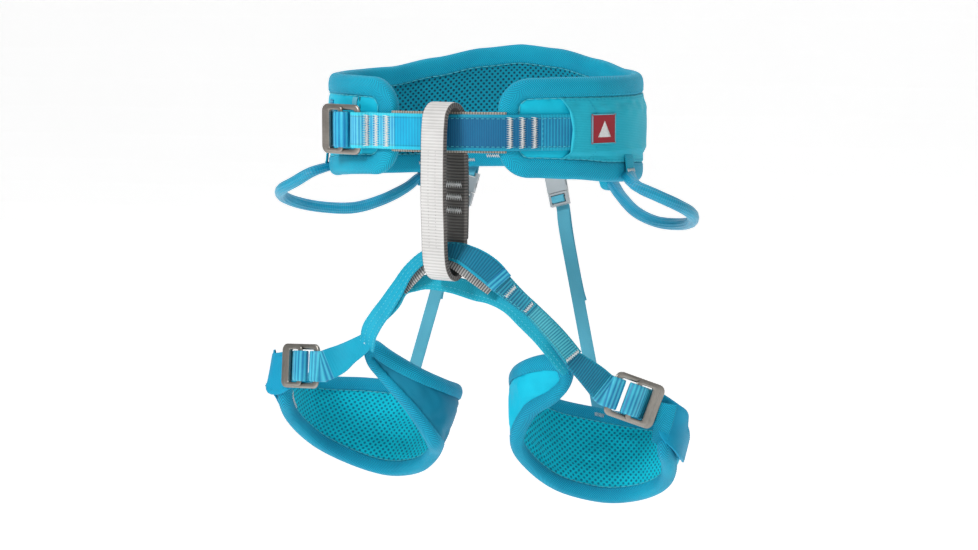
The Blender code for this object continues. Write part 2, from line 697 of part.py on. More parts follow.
def box(name, frame, p, q, r):
    """Solid block between two limits on each axis of a frame."""
    rings = []
    for along in p:
        rings.append([frame.at(along, q[0], r[0]), frame.at(along, q[1], r[0]),
                      frame.at(along, q[1], r[1]), frame.at(along, q[0], r[1])])
    return skin(name, rings, PALE_GREY, flat_caps=True, rough=0.5)


def boolean(target, tool, operation):
    """Join or cut with a solver that leaves one closed body, then drop the tool."""
    change = target.modifiers.new(operation.lower(), 'BOOLEAN')
    change.operation = operation
    change.solver = 'EXACT'
    change.object = tool
    graph = bpy.context.evaluated_depsgraph_get()
    mesh = bpy.data.meshes.new_from_object(target.evaluated_get(graph))
    target.modifiers.clear()
    target.data = mesh
    bpy.data.objects.remove(tool, do_unlink=True)


def build_female(name, frame):
    body = box(name, frame, (13.0, 28.0), (-2.6, 2.6), (-7.6, 7.6))
    cavity = box("cutter_cavity", frame, (17.6, 29.0), (-1.5, 1.5), (-5.6, 5.6))
    boolean(body, cavity, 'DIFFERENCE')
    slot = box("cutter_slot", frame, (14.2, 16.5), (-4.0, 4.0), (-5.6, 5.6))
    boolean(body, slot, 'DIFFERENCE')
    for sign in (-1, 1):
        window = box("cutter_window", frame, (20.0, 24.0), (-1.1, 1.1), (sign * 5.0, sign * 9.0))
        boolean(body, window, 'DIFFERENCE')


def build_male(name, frame):
    body = box(name, frame, (28.4, 38.0), (-2.4, 2.4), (-7.4, 7.4))
    for sign in (-1, 1):
        prong = box("tool_prong", frame, (19.0, 29.0), (-1.0, 1.0), (sign * 3.2, sign * 5.0))
        boolean(body, prong, 'UNION')
    tongue = box("tool_tongue", frame, (20.5, 29.0), (-0.9, 0.9), (-1.0, 1.0))
    boolean(body, tongue, 'UNION')
    for start in (30.0, 34.4):
        slot = box("cutter_slot", frame, (start, start + 2.2), (-4.0, 4.0), (-5.6, 5.6))
        boolean(body, slot, 'DIFFERENCE')


def build_riser(side, word):
    frame, length = riser_frame(side)
    across = frame.r
    stub = [(frame.at(p, q), across) for p, q in STUB_PATH]
    ribbon("riser_stub_" + word, stub, RISER_WIDTH, 1.0, AQUA_LIGHT)
    build_female("riser_female_" + word, frame)
    build_male("riser_male_" + word, frame)
    strap = [(frame.at(p, q), across) for p, q in STRAP_FOLD + [(120, 0), (150, 0), (length, 0)]]
    ribbon("riser_strap_" + word, strap, RISER_WIDTH, 1.0, AQUA_LIGHT)


def build_all():
    start_scene()
    build_waist_pad()
    build_waist_webbing()
    build_keeper()
    build_sleeve()
    build_label()
    build_belay_loop()
    build_bridge()
    for side, word in ((-1, "right"), (1, "left")):
        build_gear_loop(side, word)
        build_gear_tab(side, word)
        build_leg(side, word)
        build_riser(side, word)


build_all()
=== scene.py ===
"""Looks of the climbing harness: sewn pads, ribbed tapes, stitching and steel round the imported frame.

Shapes are worked out in millimetres, in the CAD's own frame, and scaled by MM when a mesh is made.
Most tables repeat the CAD source's driving points.  BRIDGE, CROSS_ARCH, CROSS_END, WEAR_START,
LEG_STRAP and ANCHOR_BEND do not: many of their rows came out of a separate measuring helper, which
report.md lists as an open fault.
"""

import math

import bpy
import numpy as np
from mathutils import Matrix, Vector


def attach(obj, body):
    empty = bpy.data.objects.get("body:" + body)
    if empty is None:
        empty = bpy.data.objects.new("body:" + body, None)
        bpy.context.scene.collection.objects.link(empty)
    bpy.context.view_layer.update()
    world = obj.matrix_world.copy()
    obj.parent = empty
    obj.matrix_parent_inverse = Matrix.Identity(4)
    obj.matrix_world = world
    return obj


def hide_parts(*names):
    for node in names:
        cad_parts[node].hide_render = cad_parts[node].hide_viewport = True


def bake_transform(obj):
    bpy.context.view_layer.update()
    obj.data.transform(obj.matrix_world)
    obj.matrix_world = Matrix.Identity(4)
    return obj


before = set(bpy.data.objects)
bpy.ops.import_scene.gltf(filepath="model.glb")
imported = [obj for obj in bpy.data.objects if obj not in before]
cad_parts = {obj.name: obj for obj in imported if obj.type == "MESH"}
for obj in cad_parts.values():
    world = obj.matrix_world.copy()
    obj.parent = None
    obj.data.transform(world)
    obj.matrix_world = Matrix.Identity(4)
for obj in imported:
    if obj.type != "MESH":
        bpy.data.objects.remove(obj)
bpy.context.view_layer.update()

MM = 0.001
TAU = 2 * math.pi

# ---- finishing sizes, in millimetres unless a comment says otherwise ---------------
TACK_THREAD = 0.3       # radius of the thick white thread
SEAM_THREAD = 0.2       # radius of the ordinary seam thread
STITCH_LIFT = 0.2       # how far a running stitch stands off its cloth
SEAM_OFF = 0.05         # a seam's base above the tape
STRAP_STEPS = 24        # rows between two points of a strap, a count
BELLY_TAPER = 40.0      # a pad's bulge fades out over this run at its ends
PAD_PUFF = 0.7          # foam thickness added away from the binding
PAD_EDGE = 0.95         # share of the binding's width where the pad is held flat
RISE_OUT = 0.9          # most the outer fabric may rise in the cloth simulation
RISE_IN = 1.8           # the same for the lining
RISE_HELD = 0.2         # the same under webbing
SLIDE_LIMIT = 0.6       # most the cloth may slide along itself

# ---- driving dimensions, as in the CAD source ----------------------------------
RING_X = 109.5
RING_Y = 88.0
WAIST_END = 159.8
WAIST_CORNER = 20.0
LEG_CORNER = 10.0
PAD_OUT = 3.15          # pad faces from the middle surface
BIND_IN = 3.7
BIND_OUT = 4.8
WAIST_BIND = 12.0
LEG_BIND = 9.0
BELT_WEB = 25.0
LEG_WEB = 22.0
WEB_THICK = 1.7
BELT_Z = 2.0
BELAY_WIDTH = 20.5
BELAY_THICK = 3.6
BELAY_TURN = -20.0
RISER_WIDTH = 10.0
GEAR_TUBE = 4.3
GEAR_CORE = 2.6
WAIST_BUCKLE_AT = -138.0
WAIST_BUCKLE_LIFT = 10.0

WAIST_TOP = [(0, 57), (16, 54), (35, 47), (55, 40.5), (78, 39), (97, 38), (136, 38), (160, 37)]
WAIST_LOW = [(0, -32), (20, -32.5), (40, -36.5), (52, -36.5), (85, -35), (100, -33.5), (113, -32.5),
             (131, -29.5), (147, -28), (160, -28)]
# x away from the middle, y, z of the wearer's right leg, z of the left leg
LEG_TOP = [(74, -46, -150, -160), (58, -43, -161, -158), (38, -33, -173, -164),
           (24, -12, -184, -174), (22, 12, -192, -188), (42, 36, -198, -203),
           (76, 50, -198, -211), (112, 46, -196, -214), (140, 26, -193, -212),
           (150, 0, -184, -206), (148, -20, -170, -200)]
LEG_LOW = [(80, -43, -165, -174), (64, -41, -183, -190), (44, -38, -205, -203),
           (30, -28, -228, -226), (34, -8, -240, -246), (52, 10, -256, -264),
           (82, 24, -263, -273), (112, 20, -256, -269), (136, 2, -240, -256),
           (146, -24, -218, -237), (146, -44, -196, -219)]
# (p, q) points in a buckle's frame: p along the strap, q outward
STRAP_WRAP = [(23, -0.6), (18, 1.0), (14.4, 2.3), (12.5, 4.4), (12.7, 7.0), (14.8, 8.6),
              (17.5, 8.9), (20.3, 8.5), (23.0, 5.9), (26.0, 2.6)]
ANCHOR_WRAP = [(-14, 0.6), (-6, 0.9), (2.0, 2.0), (6.6, 4.8), (7.7, 7.3), (6.6, 9.5),
               (4.0, 10.3), (0.2, 10.2), (-3.4, 8.4), (-7.0, 4.9), (-10.5, 3.1), (-15.5, 2.8)]
# x away from the middle, y, z of the wearer's right loop, z of the left loop
GEAR_PATH = [(114, -33, -26, -31), (121, -33, -32, -36), (136, -31, -40, -43), (149, -23, -46, -50),
             (155, -8, -52, -57), (151, 9, -58, -64), (137, 28, -63, -68), (117, 42, -64, -68),
             (98, 54, -58, -62), (83, 66, -49, -51), (75.5, 71.5, -42, -43)]
BELAY_AT = (0.8, -91.8, 0)
BELAY_PATH = [(-11.0, 6), (-12.0, -16), (-12.2, -42), (-11.4, -66), (-10.6, -82), (-8.8, -91), (-5.0, -96.5),
              (0, -98.4), (5.0, -96.5), (8.8, -91), (10.4, -82), (10.8, -66), (11.2, -42), (11.0, -16),
              (10.4, 6), (8.4, 15.0), (3.0, 20.0), (-3.5, 20.4), (-9.0, 15.6)]
BELAY_LAP = [(13.8, -14), (14.3, -30), (14.4, -46), (14.1, -60), (13.6, -72)]
# point, direction across, shift that way, width; it follows the CAD path, folded narrower
BRIDGE = [
    ((-69.3, -59.0, -154.3), (-0.89, 0.39, 0.22), 0, 13.5),
    ((-64.7, -67.0, -142.9), (-0.85, 0.43, 0.29), 0, 15),
    ((-57.3, -73.5, -133.2), (-0.82, 0.47, 0.33), 0, 15),
    ((-47.7, -80.0, -122.5), (-0.80, 0.48, 0.35), 0, 14.5),
    ((-36.8, -86.0, -109.0), (-0.80, 0.46, 0.39), 0, 13),
    ((-26.8, -88.0, -94.8), (-0.74, 0.45, 0.50), 0, 10.5),
    ((-15.2, -88.5, -84.9), (-0.55, 0.48, 0.68), 0, 10.5),
    ((1, -91.2, -80.8), (0.0, 0.54, 0.84), 1, 13.5),
    ((12, -92.6, -83.2), (0.2, 0.58, 0.80), 2.5, 15.9),
    ((21, -92.0, -88.0), (0.4, 0.56, 0.72), 2.7, 17.5),
    ((31, -91, -94.5), (0.52, 0.52, 0.66), 2.4, 18.3),
    ((41, -90.3, -102.5), (0.60, 0.46, 0.64), 1.2, 15.5),
    ((52, -90.2, -112), (0.62, 0.40, 0.66), 1.5, 12.6),
    ((62, -90.2, -121), (0.62, 0.36, 0.66), 2.3, 11.4),
    ((74, -89.4, -132.5), (0.60, 0.34, 0.68), 2.0, 12.7),
    ((83.5, -88.0, -140.9), (0.57, 0.45, 0.66), 0.5, 13.5),
    ((91.5, -85.2, -151.1), (0.54, 0.45, 0.68), 0, 14),
]
CROSS_ARCH = [
    ((-38.7, -82.0, -118.7), (-0.83, 0.31, 0.46), 8),
    ((-31.0, -84.6, -109.7), (-0.58, 0.22, 0.79), 5.6),
    ((-24.0, -83.5, -106.0), (-0.27, 0.18, 0.95), 8),
    ((-15.7, -82.0, -103.1), (-0.07, 0.20, 0.98), 10.5),
    ((1.6, -81.0, -104.3), (0, 0.20, 0.98), 12),
    ((20.1, -81.5, -108.8), (0.08, 0.22, 0.97), 12.5),
    ((32.0, -84.5, -111.4), (0.30, 0.40, 0.86), 11),
]
CROSS_END = [
    ((77.2, -86.3, -146.4), (0.54, 0.50, 0.68), 13),
    ((83.7, -82.8, -156.0), (0.54, 0.50, 0.68), 12.5),
    ((86.0, -79.8, -161.2), (0.54, 0.50, 0.68), 10),
]
WEAR_START = [
    ((-32.0, -84.9, -109.4), (-0.81, 0.42, 0.41), 7),
    ((-26.4, -86.0, -102.6), (-0.80, 0.43, 0.43), 8.5),
    ((-21.1, -86.5, -97.2), (-0.73, 0.44, 0.53), 9),
    ((-13.5, -87.0, -89.9), (-0.59, 0.47, 0.66), 9),
]
LEG_BUCKLE = {
    -1: ((-121, -48, -172), (0.90, -0.42, 0.08), (-0.36, -0.90, 0.14)),
    1: ((123, -47, -184), (-0.75, -0.55, 0.36), (0.555, -0.763, -0.006)),
}
LEG_STRAP = {
    -1: [
        ((-60.7, -64.9, -140.8), (-0.83, 0.31, 0.46), 6.0),
        ((-71.0, -60.0, -151.2), (-0.53, 0.24, 0.81), 13.5),
        ((-83.8, -57.5, -159.5), (-0.33, 0.22, 0.92), 17.5),
        ((-92.5, -59.0, -165.0), (-0.11, 0.19, 0.98), 21),
    ],
    1: [
        ((79.2, -86.0, -139.9), (0.57, 0.45, 0.66), 10),
        ((91.0, -82.3, -153.3), (0.51, 0.42, 0.74), 14),
        ((98.2, -76.5, -161.1), (0.42, 0.36, 0.82), 17.5),
        ((104.0, -70.0, -168.8), (0.32, 0.28, 0.88), 20.5),
    ],
}
ANCHOR_BEND = {
    -1: [
        ((-144.5, -40.0, -177.9), (0.07, 0.14, 0.99), 32),
        ((-150.3, -38.5, -179.3), (0.11, 0.15, 0.98), 33),
        ((-154.4, -35.0, -180.0), (0.12, 0.22, 0.97), 28),
        ((-155.6, -30.0, -182.5), (0.10, 0.30, 0.95), 22),
    ],
    1: [
        ((145.8, -35.0, -197.7), (0.30, 0.22, 0.92), 24),
        ((150.6, -30.5, -205.0), (0.18, 0.32, 0.92), 29),
    ],
}
LEG_TAB = [
    ((146.9, -38.5, -187.5), (0.95, 0.29, -0.10), 12.5),
    ((145.0, -38.8, -196.2), (0.94, 0.31, -0.14), 12.5),
    ((142.0, -38.8, -206.2), (0.92, 0.30, -0.24), 12),
    ((138.4, -38.0, -215.8), (0.95, 0.29, 0.05), 7),
]
RISER_TOP = {-1: (-38.0, 91.5, -26.0), 1: (22.0, 94.0, -26.0)}
RISER_LOW = {-1: (-79.0, 54.5, -203.0), 1: (72.0, 53.5, -214.0)}
STUB_PATH = [(-6, 0.2), (3, 0.0), (8.5, -1.6), (12.2, -3.7), (14.6, -3.7), (15.35, -1.8), (15.35, 0),
             (15.35, 1.8), (14.6, 3.7), (12.2, 3.9), (8, 2.7), (2, 1.9), (-3, 1.9)]
STRAP_FOLD = [(112, 5.2), (106, 3.2), (92, 2.2), (60, 3.0), (42, 6.0), (36.5, 6.3), (32.8, 5.6), (31.2, 3.7),
              (31.1, 1.4), (31.1, -1.4), (31.5, -3.5), (33.3, -4.1), (35.1, -3.5), (35.5, -1.4), (35.5, 1.5),
              (36.0, 3.6), (38.2, 4.3), (41.5, 3.8), (48, 1.6), (58, 0.2), (80, 0)]
MARK_X = 75.5            # the woven bar on the left leg's upper binding
GEAR_TAB_AT = 103.0      # ring angles of the gear loops' front tabs and rear slings
GEAR_SLING_AT = 39.2
LABEL_ANGLES = (125.5, 113.8)
LABEL_HEIGHTS = (-6.5, 14.0)
SLEEVE_BACK = 80.0       # ring angle where the sleeve ends
CAMERA_TURN = 18.0
CAMERA_TILT = 6.5
CAMERA_AWAY = 1.8
CAMERA_AIM = (0.00644, -0.01051, -0.10516)
FLOOR_Z = -0.62
SIDES = ((-1, "right"), (1, "left"))


# ---- vectors and curves ---------------------------------------------------------
def unit(v):
    v = np.asarray(v, float)
    return v / np.maximum(np.linalg.norm(v, axis=-1, keepdims=True), 1e-9)


def curve(points, steps=24, closed=False, knots=None):
    """Catmull-Rom through the points; a closed one ends on its first point again.

    knots, as points, space the parameter by the root of the distance between them, which
    keeps a line with uneven spacing free of loops.
    """
    points = np.array(points, float)
    count = len(points)
    spans = count if closed else count - 1
    gaps = np.ones(spans)
    if knots is not None:
        knots = np.array(knots, float)
        gaps = np.array([np.linalg.norm(knots[(i + 1) % count] - knots[i]) for i in range(spans)]) ** 0.5
    t = (np.arange(steps) / steps)[:, None]
    out = []
    for i in range(spans):
        p1 = points[i]
        p2 = points[(i + 1) % count]
        inner = closed or i > 0
        outer = closed or i + 2 < count
        before = gaps[i - 1] if inner else gaps[i]
        after = gaps[(i + 1) % spans] if outer else gaps[i]
        p0 = points[i - 1] if inner else 2 * p1 - p2
        p3 = points[(i + 2) % count] if outer else 2 * p2 - p1
        gap = gaps[i]
        lean = (p2 - p1) / gap
        m1 = gap * (lean - (p2 - p0) / (gap + before) + (p1 - p0) / before)
        m2 = gap * (lean - (p3 - p1) / (gap + after) + (p3 - p2) / after)
        out.append((2 * t ** 3 - 3 * t ** 2 + 1) * p1 + (t ** 3 - 2 * t ** 2 + t) * m1
                   + (3 * t ** 2 - 2 * t ** 3) * p2 + (t ** 3 - t ** 2) * m2)
    out.append(points[:1] if closed else points[-1:])
    return np.vstack(out)


def run_of(points):
    return np.concatenate([[0.0], np.cumsum(np.linalg.norm(np.diff(points, axis=0), axis=1))])


def pick(x, xs, rows):
    """Rows looked up at x, each column on its own."""
    return np.stack([np.interp(x, xs, rows[:, k]) for k in range(rows.shape[1])], -1)


def table(rows, x):
    """Smoothed look-up in (x, value) rows."""
    xs = np.array([row[0] for row in rows], float)
    ys = np.array([row[1] for row in rows], float)
    x = np.clip(x, xs[0], xs[-1])
    i = np.clip(np.searchsorted(xs, x) - 1, 0, len(xs) - 2)
    t = (x - xs[i]) / (xs[i + 1] - xs[i])
    return ys[i] + (ys[i + 1] - ys[i]) * (t * t * (3 - 2 * t) * 0.5 + t * 0.5)


class Frame:
    """Local axes: p along a strap, q outward, r across."""

    def __init__(self, origin, p, q):
        self.origin = np.array(origin, float)
        self.p = unit(p)
        q = np.array(q, float)
        self.q = unit(q - q.dot(self.p) * self.p)
        self.r = np.cross(self.p, self.q)

    def at(self, p, q, r=0.0):
        p, q, r = np.broadcast_arrays(np.asarray(p, float), q, r)
        return self.origin + p[..., None] * self.p + q[..., None] * self.q + r[..., None] * self.r


class Strap:
    """Smooth tape: asked for points by run s, distance x across and lift off its middle, in mm."""

    def __init__(self, rows, width, thick, closed=False):
        if not isinstance(width, (list, tuple)):
            width = [width] * len(rows)
        knots = [row[0] for row in rows]
        self.point = curve(knots, STRAP_STEPS, closed, knots)
        side = curve([unit(row[1]) for row in rows], STRAP_STEPS, closed, knots)
        self.half = curve([[w / 2] for w in width], STRAP_STEPS, closed, knots)[:, 0]
        self.thick = thick
        self.closed = closed
        along = np.gradient(self.point, axis=0)
        if closed:
            along[0] = along[-1] = self.point[1] - self.point[-2]
        along = unit(along)
        self.side = unit(side - (side * along).sum(1, keepdims=True) * along)
        self.up = np.cross(along, self.side)
        self.s = run_of(self.point)
        self.length = self.s[-1]

    def at(self, s, x, lift=0.0):
        s, x, lift = np.broadcast_arrays(np.asarray(s, float), x, lift)
        if self.closed:
            s = s % self.length
        return (pick(s, self.s, self.point) + pick(s, self.s, self.side) * x[..., None]
                + pick(s, self.s, self.up) * lift[..., None])

    def half_at(self, s):
        return np.interp(s % self.length if self.closed else s, self.s, self.half)

    def near(self, point, low=0.0, high=None):
        """Run of the row nearest to a point, looked for between two runs."""
        away = np.linalg.norm(self.point - np.asarray(point, float), axis=1)
        away[(self.s < low) | (self.s > (self.length if high is None else high))] = 1e9
        return self.s[int(np.argmin(away))]


class Band:
    """Padded band: asked for points by run a, w from -1 low edge to 1 high edge, and out."""

    def __init__(self, low, high, centre, belly, corner, shift=0.0):
        self.low = low
        self.high = high
        self.belly = belly
        self.corner = corner
        self.shift = shift
        middle = (low + high) / 2
        self.run = run_of(middle)
        self.length = self.run[-1]
        self.along = unit(np.gradient(middle, axis=0))
        face = unit(np.cross(self.along, high - low))
        inward = ((face * (middle - centre)).sum(1) < 0)[:, None]
        self.face = np.where(inward, -face, face)

    def half(self, a):
        return np.interp(a, self.run, np.linalg.norm(self.high - self.low, axis=1)) / 2

    def at(self, a, w, out=0.0):
        a, w, out = np.broadcast_arrays(np.asarray(a, float), w, out)
        inside = np.clip(a, 0, self.length)
        low = pick(inside, self.run, self.low)
        high = pick(inside, self.run, self.high)
        face = unit(pick(inside, self.run, self.face))
        end = np.clip(np.minimum(a, self.length - a) / BELLY_TAPER, 0, 1)
        bulge = self.belly * np.maximum(0, 1 - w * w) * end
        past = (a - inside)[..., None] * pick(inside, self.run, self.along)
        lift = (out + bulge + self.shift)[..., None]
        return (low + high) / 2 + (high - low) / 2 * w[..., None] + face * lift + past

    def rows(self, inset, step):
        """(a, w limit) arrays from one end to the other for a line inset from the edge."""
        phi = np.radians(np.arange(0, 90, 7.5))
        x = self.corner - (self.corner - inset) * np.cos(phi)
        drop = self.corner - (self.corner - inset) * np.sin(phi)
        count = int((self.length - 2 * self.corner) / step)
        straight = np.linspace(self.corner, self.length - self.corner, count)
        a = np.concatenate([x, straight, self.length - x[::-1]])
        drop = np.concatenate([drop, np.full(count, float(inset)), drop[::-1]])
        half = self.half(a)
        return a, (half - drop) / half

    def outline(self, inset, step):
        """Closed outline as (a, w): low edge, far end, high edge back, near end."""
        a, w = self.rows(inset, step)
        t = np.linspace(-1, 1, 10)[1:-1]
        far = np.full(8, a[-1])
        near = np.full(8, a[0])
        return (np.concatenate([a, far, a[::-1], near]),
                np.concatenate([-w, t * w[-1], w[::-1], -t * w[0]]))


# ---- materials --------------------------------------------------------------------
class Look:
    """A Principled material under construction; helpers return node sockets."""

    def __init__(self, name, rough=0.8, metal=0.0, sheen=0.0, coat=0.0, spec=0.5):
        self.mat = bpy.data.materials.new(name)
        self.mat.use_nodes = True
        self.tree = self.mat.node_tree
        self.shader = self.tree.nodes["Principled BSDF"]
        self.shader.inputs["Roughness"].default_value = rough
        self.shader.inputs["Metallic"].default_value = metal
        self.shader.inputs["Sheen Weight"].default_value = sheen
        self.shader.inputs["Sheen Roughness"].default_value = 0.4
        self.shader.inputs["Coat Weight"].default_value = coat
        self.shader.inputs["Coat Roughness"].default_value = 0.25
        self.shader.inputs["Specular IOR Level"].default_value = spec

    def add(self, kind):
        return self.tree.nodes.new("ShaderNode" + kind)

    def feed(self, value, socket):
        if isinstance(value, bpy.types.NodeSocket):
            self.tree.links.new(value, socket)
        elif socket.type == 'RGBA' and isinstance(value, tuple):
            socket.default_value = (value + (1.0,))[:4]
        else:
            socket.default_value = value

    def calc(self, operation, *values):
        node = self.add("Math")
        node.operation = operation
        for value, socket in zip(values, node.inputs):
            self.feed(value, socket)
        return node.outputs[0]

    def plus(self, a, b):
        return self.calc('ADD', a, b)

    def less(self, a, b):
        return self.calc('SUBTRACT', a, b)

    def times(self, a, b):
        return self.calc('MULTIPLY', a, b)

    def scaled(self, a, factor, added):
        return self.calc('MULTIPLY_ADD', a, factor, added)

    def uv(self):
        """Run along the piece and distance across it, both in millimetres."""
        parts = self.add("SeparateXYZ")
        self.feed(self.add("TexCoord").outputs["UV"], parts.inputs[0])
        return parts.outputs[0], parts.outputs[1]

    def wave(self, x, pitch):
        """1 at multiples of the pitch, 0 half way between."""
        turn = self.calc('COSINE', self.times(x, TAU / pitch))
        return self.scaled(turn, 0.5, 0.5)

    def step(self, x, low, high, start=0.0, end=1.0):
        """Smooth step from start to end as x goes from low to high."""
        node = self.add("MapRange")
        node.interpolation_type = 'SMOOTHSTEP'
        for value, socket in zip((x, low, high, start, end), node.inputs):
            self.feed(value, socket)
        return node.outputs[0]

    def mix(self, share, a, b):
        node = self.add("Mix")
        node.data_type = 'RGBA'
        for value, socket in zip((share, a, b), (node.inputs[0], node.inputs[6], node.inputs[7])):
            self.feed(value, socket)
        return node.outputs[2]

    def noise(self, scale, detail=2.0, stretch=None):
        """Noise in the row frame; scale is per metre."""
        node = self.add("TexNoise")
        node.inputs["Scale"].default_value = scale
        node.inputs["Detail"].default_value = detail
        place = self.add("TexCoord").outputs["Object"]
        if stretch:
            mapping = self.add("Mapping")
            mapping.inputs["Scale"].default_value = stretch
            self.feed(place, mapping.inputs["Vector"])
            place = mapping.outputs[0]
        self.feed(place, node.inputs["Vector"])
        return node.outputs[0]

    def paint(self, colour):
        self.feed(colour, self.shader.inputs["Base Color"])

    def relief(self, height, depth):
        """Bump of a 0 to 1 height over depth millimetres."""
        node = self.add("Bump")
        node.inputs["Strength"].default_value = 1.0
        node.inputs["Distance"].default_value = depth * MM
        self.feed(height, node.inputs["Height"])
        self.feed(node.outputs[0], self.shader.inputs["Normal"])


def shade(colour, factor):
    return tuple(c * factor for c in colour)


def webbing_look(name, base, light, pitch, edge=None, half=12.0, rough=0.5):
    """Ribbed tape: rib crests painted light as highlights, valleys painted dark as shade, and a paler woven
    edge.
    """
    look = Look(name, rough=rough, sheen=0.03, spec=0.35)
    u, v = look.uv()
    crest = look.wave(u, pitch)
    thread = look.wave(look.plus(v, look.times(u, 0.35)), 0.62)
    worn = look.noise(55, 3)
    # crest lightens the colour on the rib crests as a painted highlight and darkens the valleys between them
    # as painted shade
    tone = look.scaled(crest, 0.45, look.times(thread, 0.14))
    tone = look.plus(tone, look.scaled(worn, 0.5, -0.25))
    colour = look.mix(tone, base, light)
    if edge:
        rim = look.step(look.calc('ABSOLUTE', v), half - 2.0, half - 1.2)
        colour = look.mix(look.times(rim, 0.75), colour, edge)
        line = look.step(look.calc('ABSOLUTE', look.less(look.calc('ABSOLUTE', v), half - 2.4)), 0.2, 0.5)
        colour = look.mix(look.scaled(line, -0.35, 0.35), colour, shade(light, 0.25))
    look.paint(colour)
    look.relief(look.scaled(crest, 0.7, look.times(thread, 0.3)), 0.14)
    return look.mat


def plain_webbing_look(name, base, light, rough=0.55):
    """Fine woven tape with a slanting twill."""
    look = Look(name, rough=rough, sheen=0.04, spec=0.25)
    u, v = look.uv()
    twill = look.wave(look.plus(u, look.times(v, 1.0)), 1.1)
    thread = look.wave(v, 0.55)
    worn = look.noise(45, 3)
    tone = look.scaled(twill, 0.35, look.scaled(worn, 0.6, -0.1))
    look.paint(look.mix(tone, base, light))
    look.relief(look.scaled(twill, 0.6, look.times(thread, 0.4)), 0.1)
    return look.mat


def herringbone_look(name, base, light, column=5.0, pitch=1.5, depth=0.16, rough=0.62, strength=0.5):
    """Twill that turns back and forth in columns, as on binding tape."""
    look = Look(name, rough=rough, sheen=0.05, spec=0.25)
    u, v = look.uv()
    fold = look.calc('PINGPONG', v, column)
    rib = look.wave(look.scaled(fold, 0.9, u), pitch)
    thread = look.wave(u, 0.5)
    worn = look.noise(30, 3)
    tone = look.scaled(rib, strength, look.scaled(worn, 0.6, -0.3))
    look.paint(look.mix(tone, base, light))
    look.relief(look.scaled(rib, 0.8, look.times(thread, 0.2)), depth)
    return look.mat


def mesh_look(name, deep, bright):
    """Spacer mesh: staggered holes painted dark as the shade inside them, in a knitted face."""
    look = Look(name, rough=0.75, sheen=0.05, spec=0.2)
    u, v = look.uv()
    away = None
    for shift in (0.0, 0.5):
        x = look.calc('FRACT', look.scaled(u, 1 / 4.2, shift))
        y = look.calc('FRACT', look.scaled(v, 1 / 4.4, shift))
        x = look.times(look.less(x, 0.5), 4.2)
        y = look.times(look.less(y, 0.5), 4.4)
        one = look.calc('SQRT', look.scaled(x, x, look.times(y, y)))
        away = one if away is None else look.calc('MINIMUM', away, one)
    # hole marks where the deep colour goes: painted shade in the holes
    hole = look.step(away, 0.55, 1.2, 1.0, 0.0)
    knit = look.times(look.wave(look.plus(u, v), 1.17), look.wave(look.less(u, v), 1.17))
    worn = look.noise(40, 3)
    face = look.mix(look.scaled(knit, 0.5, look.scaled(worn, 0.8, -0.2)),
                    shade(bright, 0.72), shade(bright, 1.15))
    look.paint(look.mix(hole, face, deep))
    look.relief(look.less(look.scaled(knit, 0.25, 0.7), look.times(hole, 0.7)), 0.5)
    return look.mat


def fabric_look(name, base, light, pitch=0.9, depth=0.07, rough=0.6, sheen=0.06, ribs=0.0):
    """Smooth woven cloth; ribs above 0 adds fine lines along the run."""
    look = Look(name, rough=rough, sheen=sheen, spec=0.25)
    u, v = look.uv()
    weave = look.times(look.wave(u, pitch), look.wave(v, pitch))
    worn = look.noise(28, 4)
    tone = look.scaled(weave, 0.3, look.scaled(worn, 0.7, -0.15))
    height = weave
    if ribs:
        line = look.wave(v, ribs)
        tone = look.scaled(line, 0.35, tone)
        height = look.scaled(line, 1.2, weave)
    look.paint(look.mix(tone, base, light))
    look.relief(height, depth)
    return look.mat


def thread_look(name, colour):
    look = Look(name, rough=0.6, sheen=0.05, spec=0.3)
    twist = look.noise(900, 1)
    look.paint(look.mix(twist, shade(colour, 0.7), colour))
    look.relief(twist, 0.08)
    return look.mat


def steel_look(name, dark, bright, grain):
    """Brushed steel with soft scratches and a little tarnish."""
    look = Look(name, rough=0.34, metal=1.0)
    brush = look.noise(260, 4, grain)
    worn = look.noise(70, 4)
    tone = look.scaled(brush, 0.7, look.scaled(worn, 0.8, -0.3))
    look.paint(look.mix(tone, dark, bright))
    look.feed(look.scaled(worn, 0.22, 0.24), look.shader.inputs["Roughness"])
    look.relief(look.scaled(brush, 0.6, look.times(worn, 0.4)), 0.12)
    return look.mat


def plastic_look(name, base, light, rough=0.42):
    """Moulded plastic with a fine grain and rubbed spots."""
    look = Look(name, rough=rough, coat=0.1)
    grain = look.noise(1400, 2)
    worn = look.noise(90, 4)
    look.paint(look.mix(look.scaled(worn, 0.9, -0.1), base, light))
    look.relief(look.scaled(grain, 0.5, look.times(worn, 0.5)), 0.05)
    return look.mat


def braid_look(name, base, light):
    """Tube cover with fine lengthwise ribs."""
    look = Look(name, rough=0.38, coat=0.15, sheen=0.1)
    u, v = look.uv()
    line = look.wave(v, 1.5)
    cross = look.wave(u, 0.8)
    worn = look.noise(60, 3)
    tone = look.scaled(line, 0.4, look.scaled(worn, 0.7, -0.2))
    look.paint(look.mix(tone, base, light))
    look.relief(look.scaled(line, 0.8, look.times(cross, 0.2)), 0.16)
    return look.mat


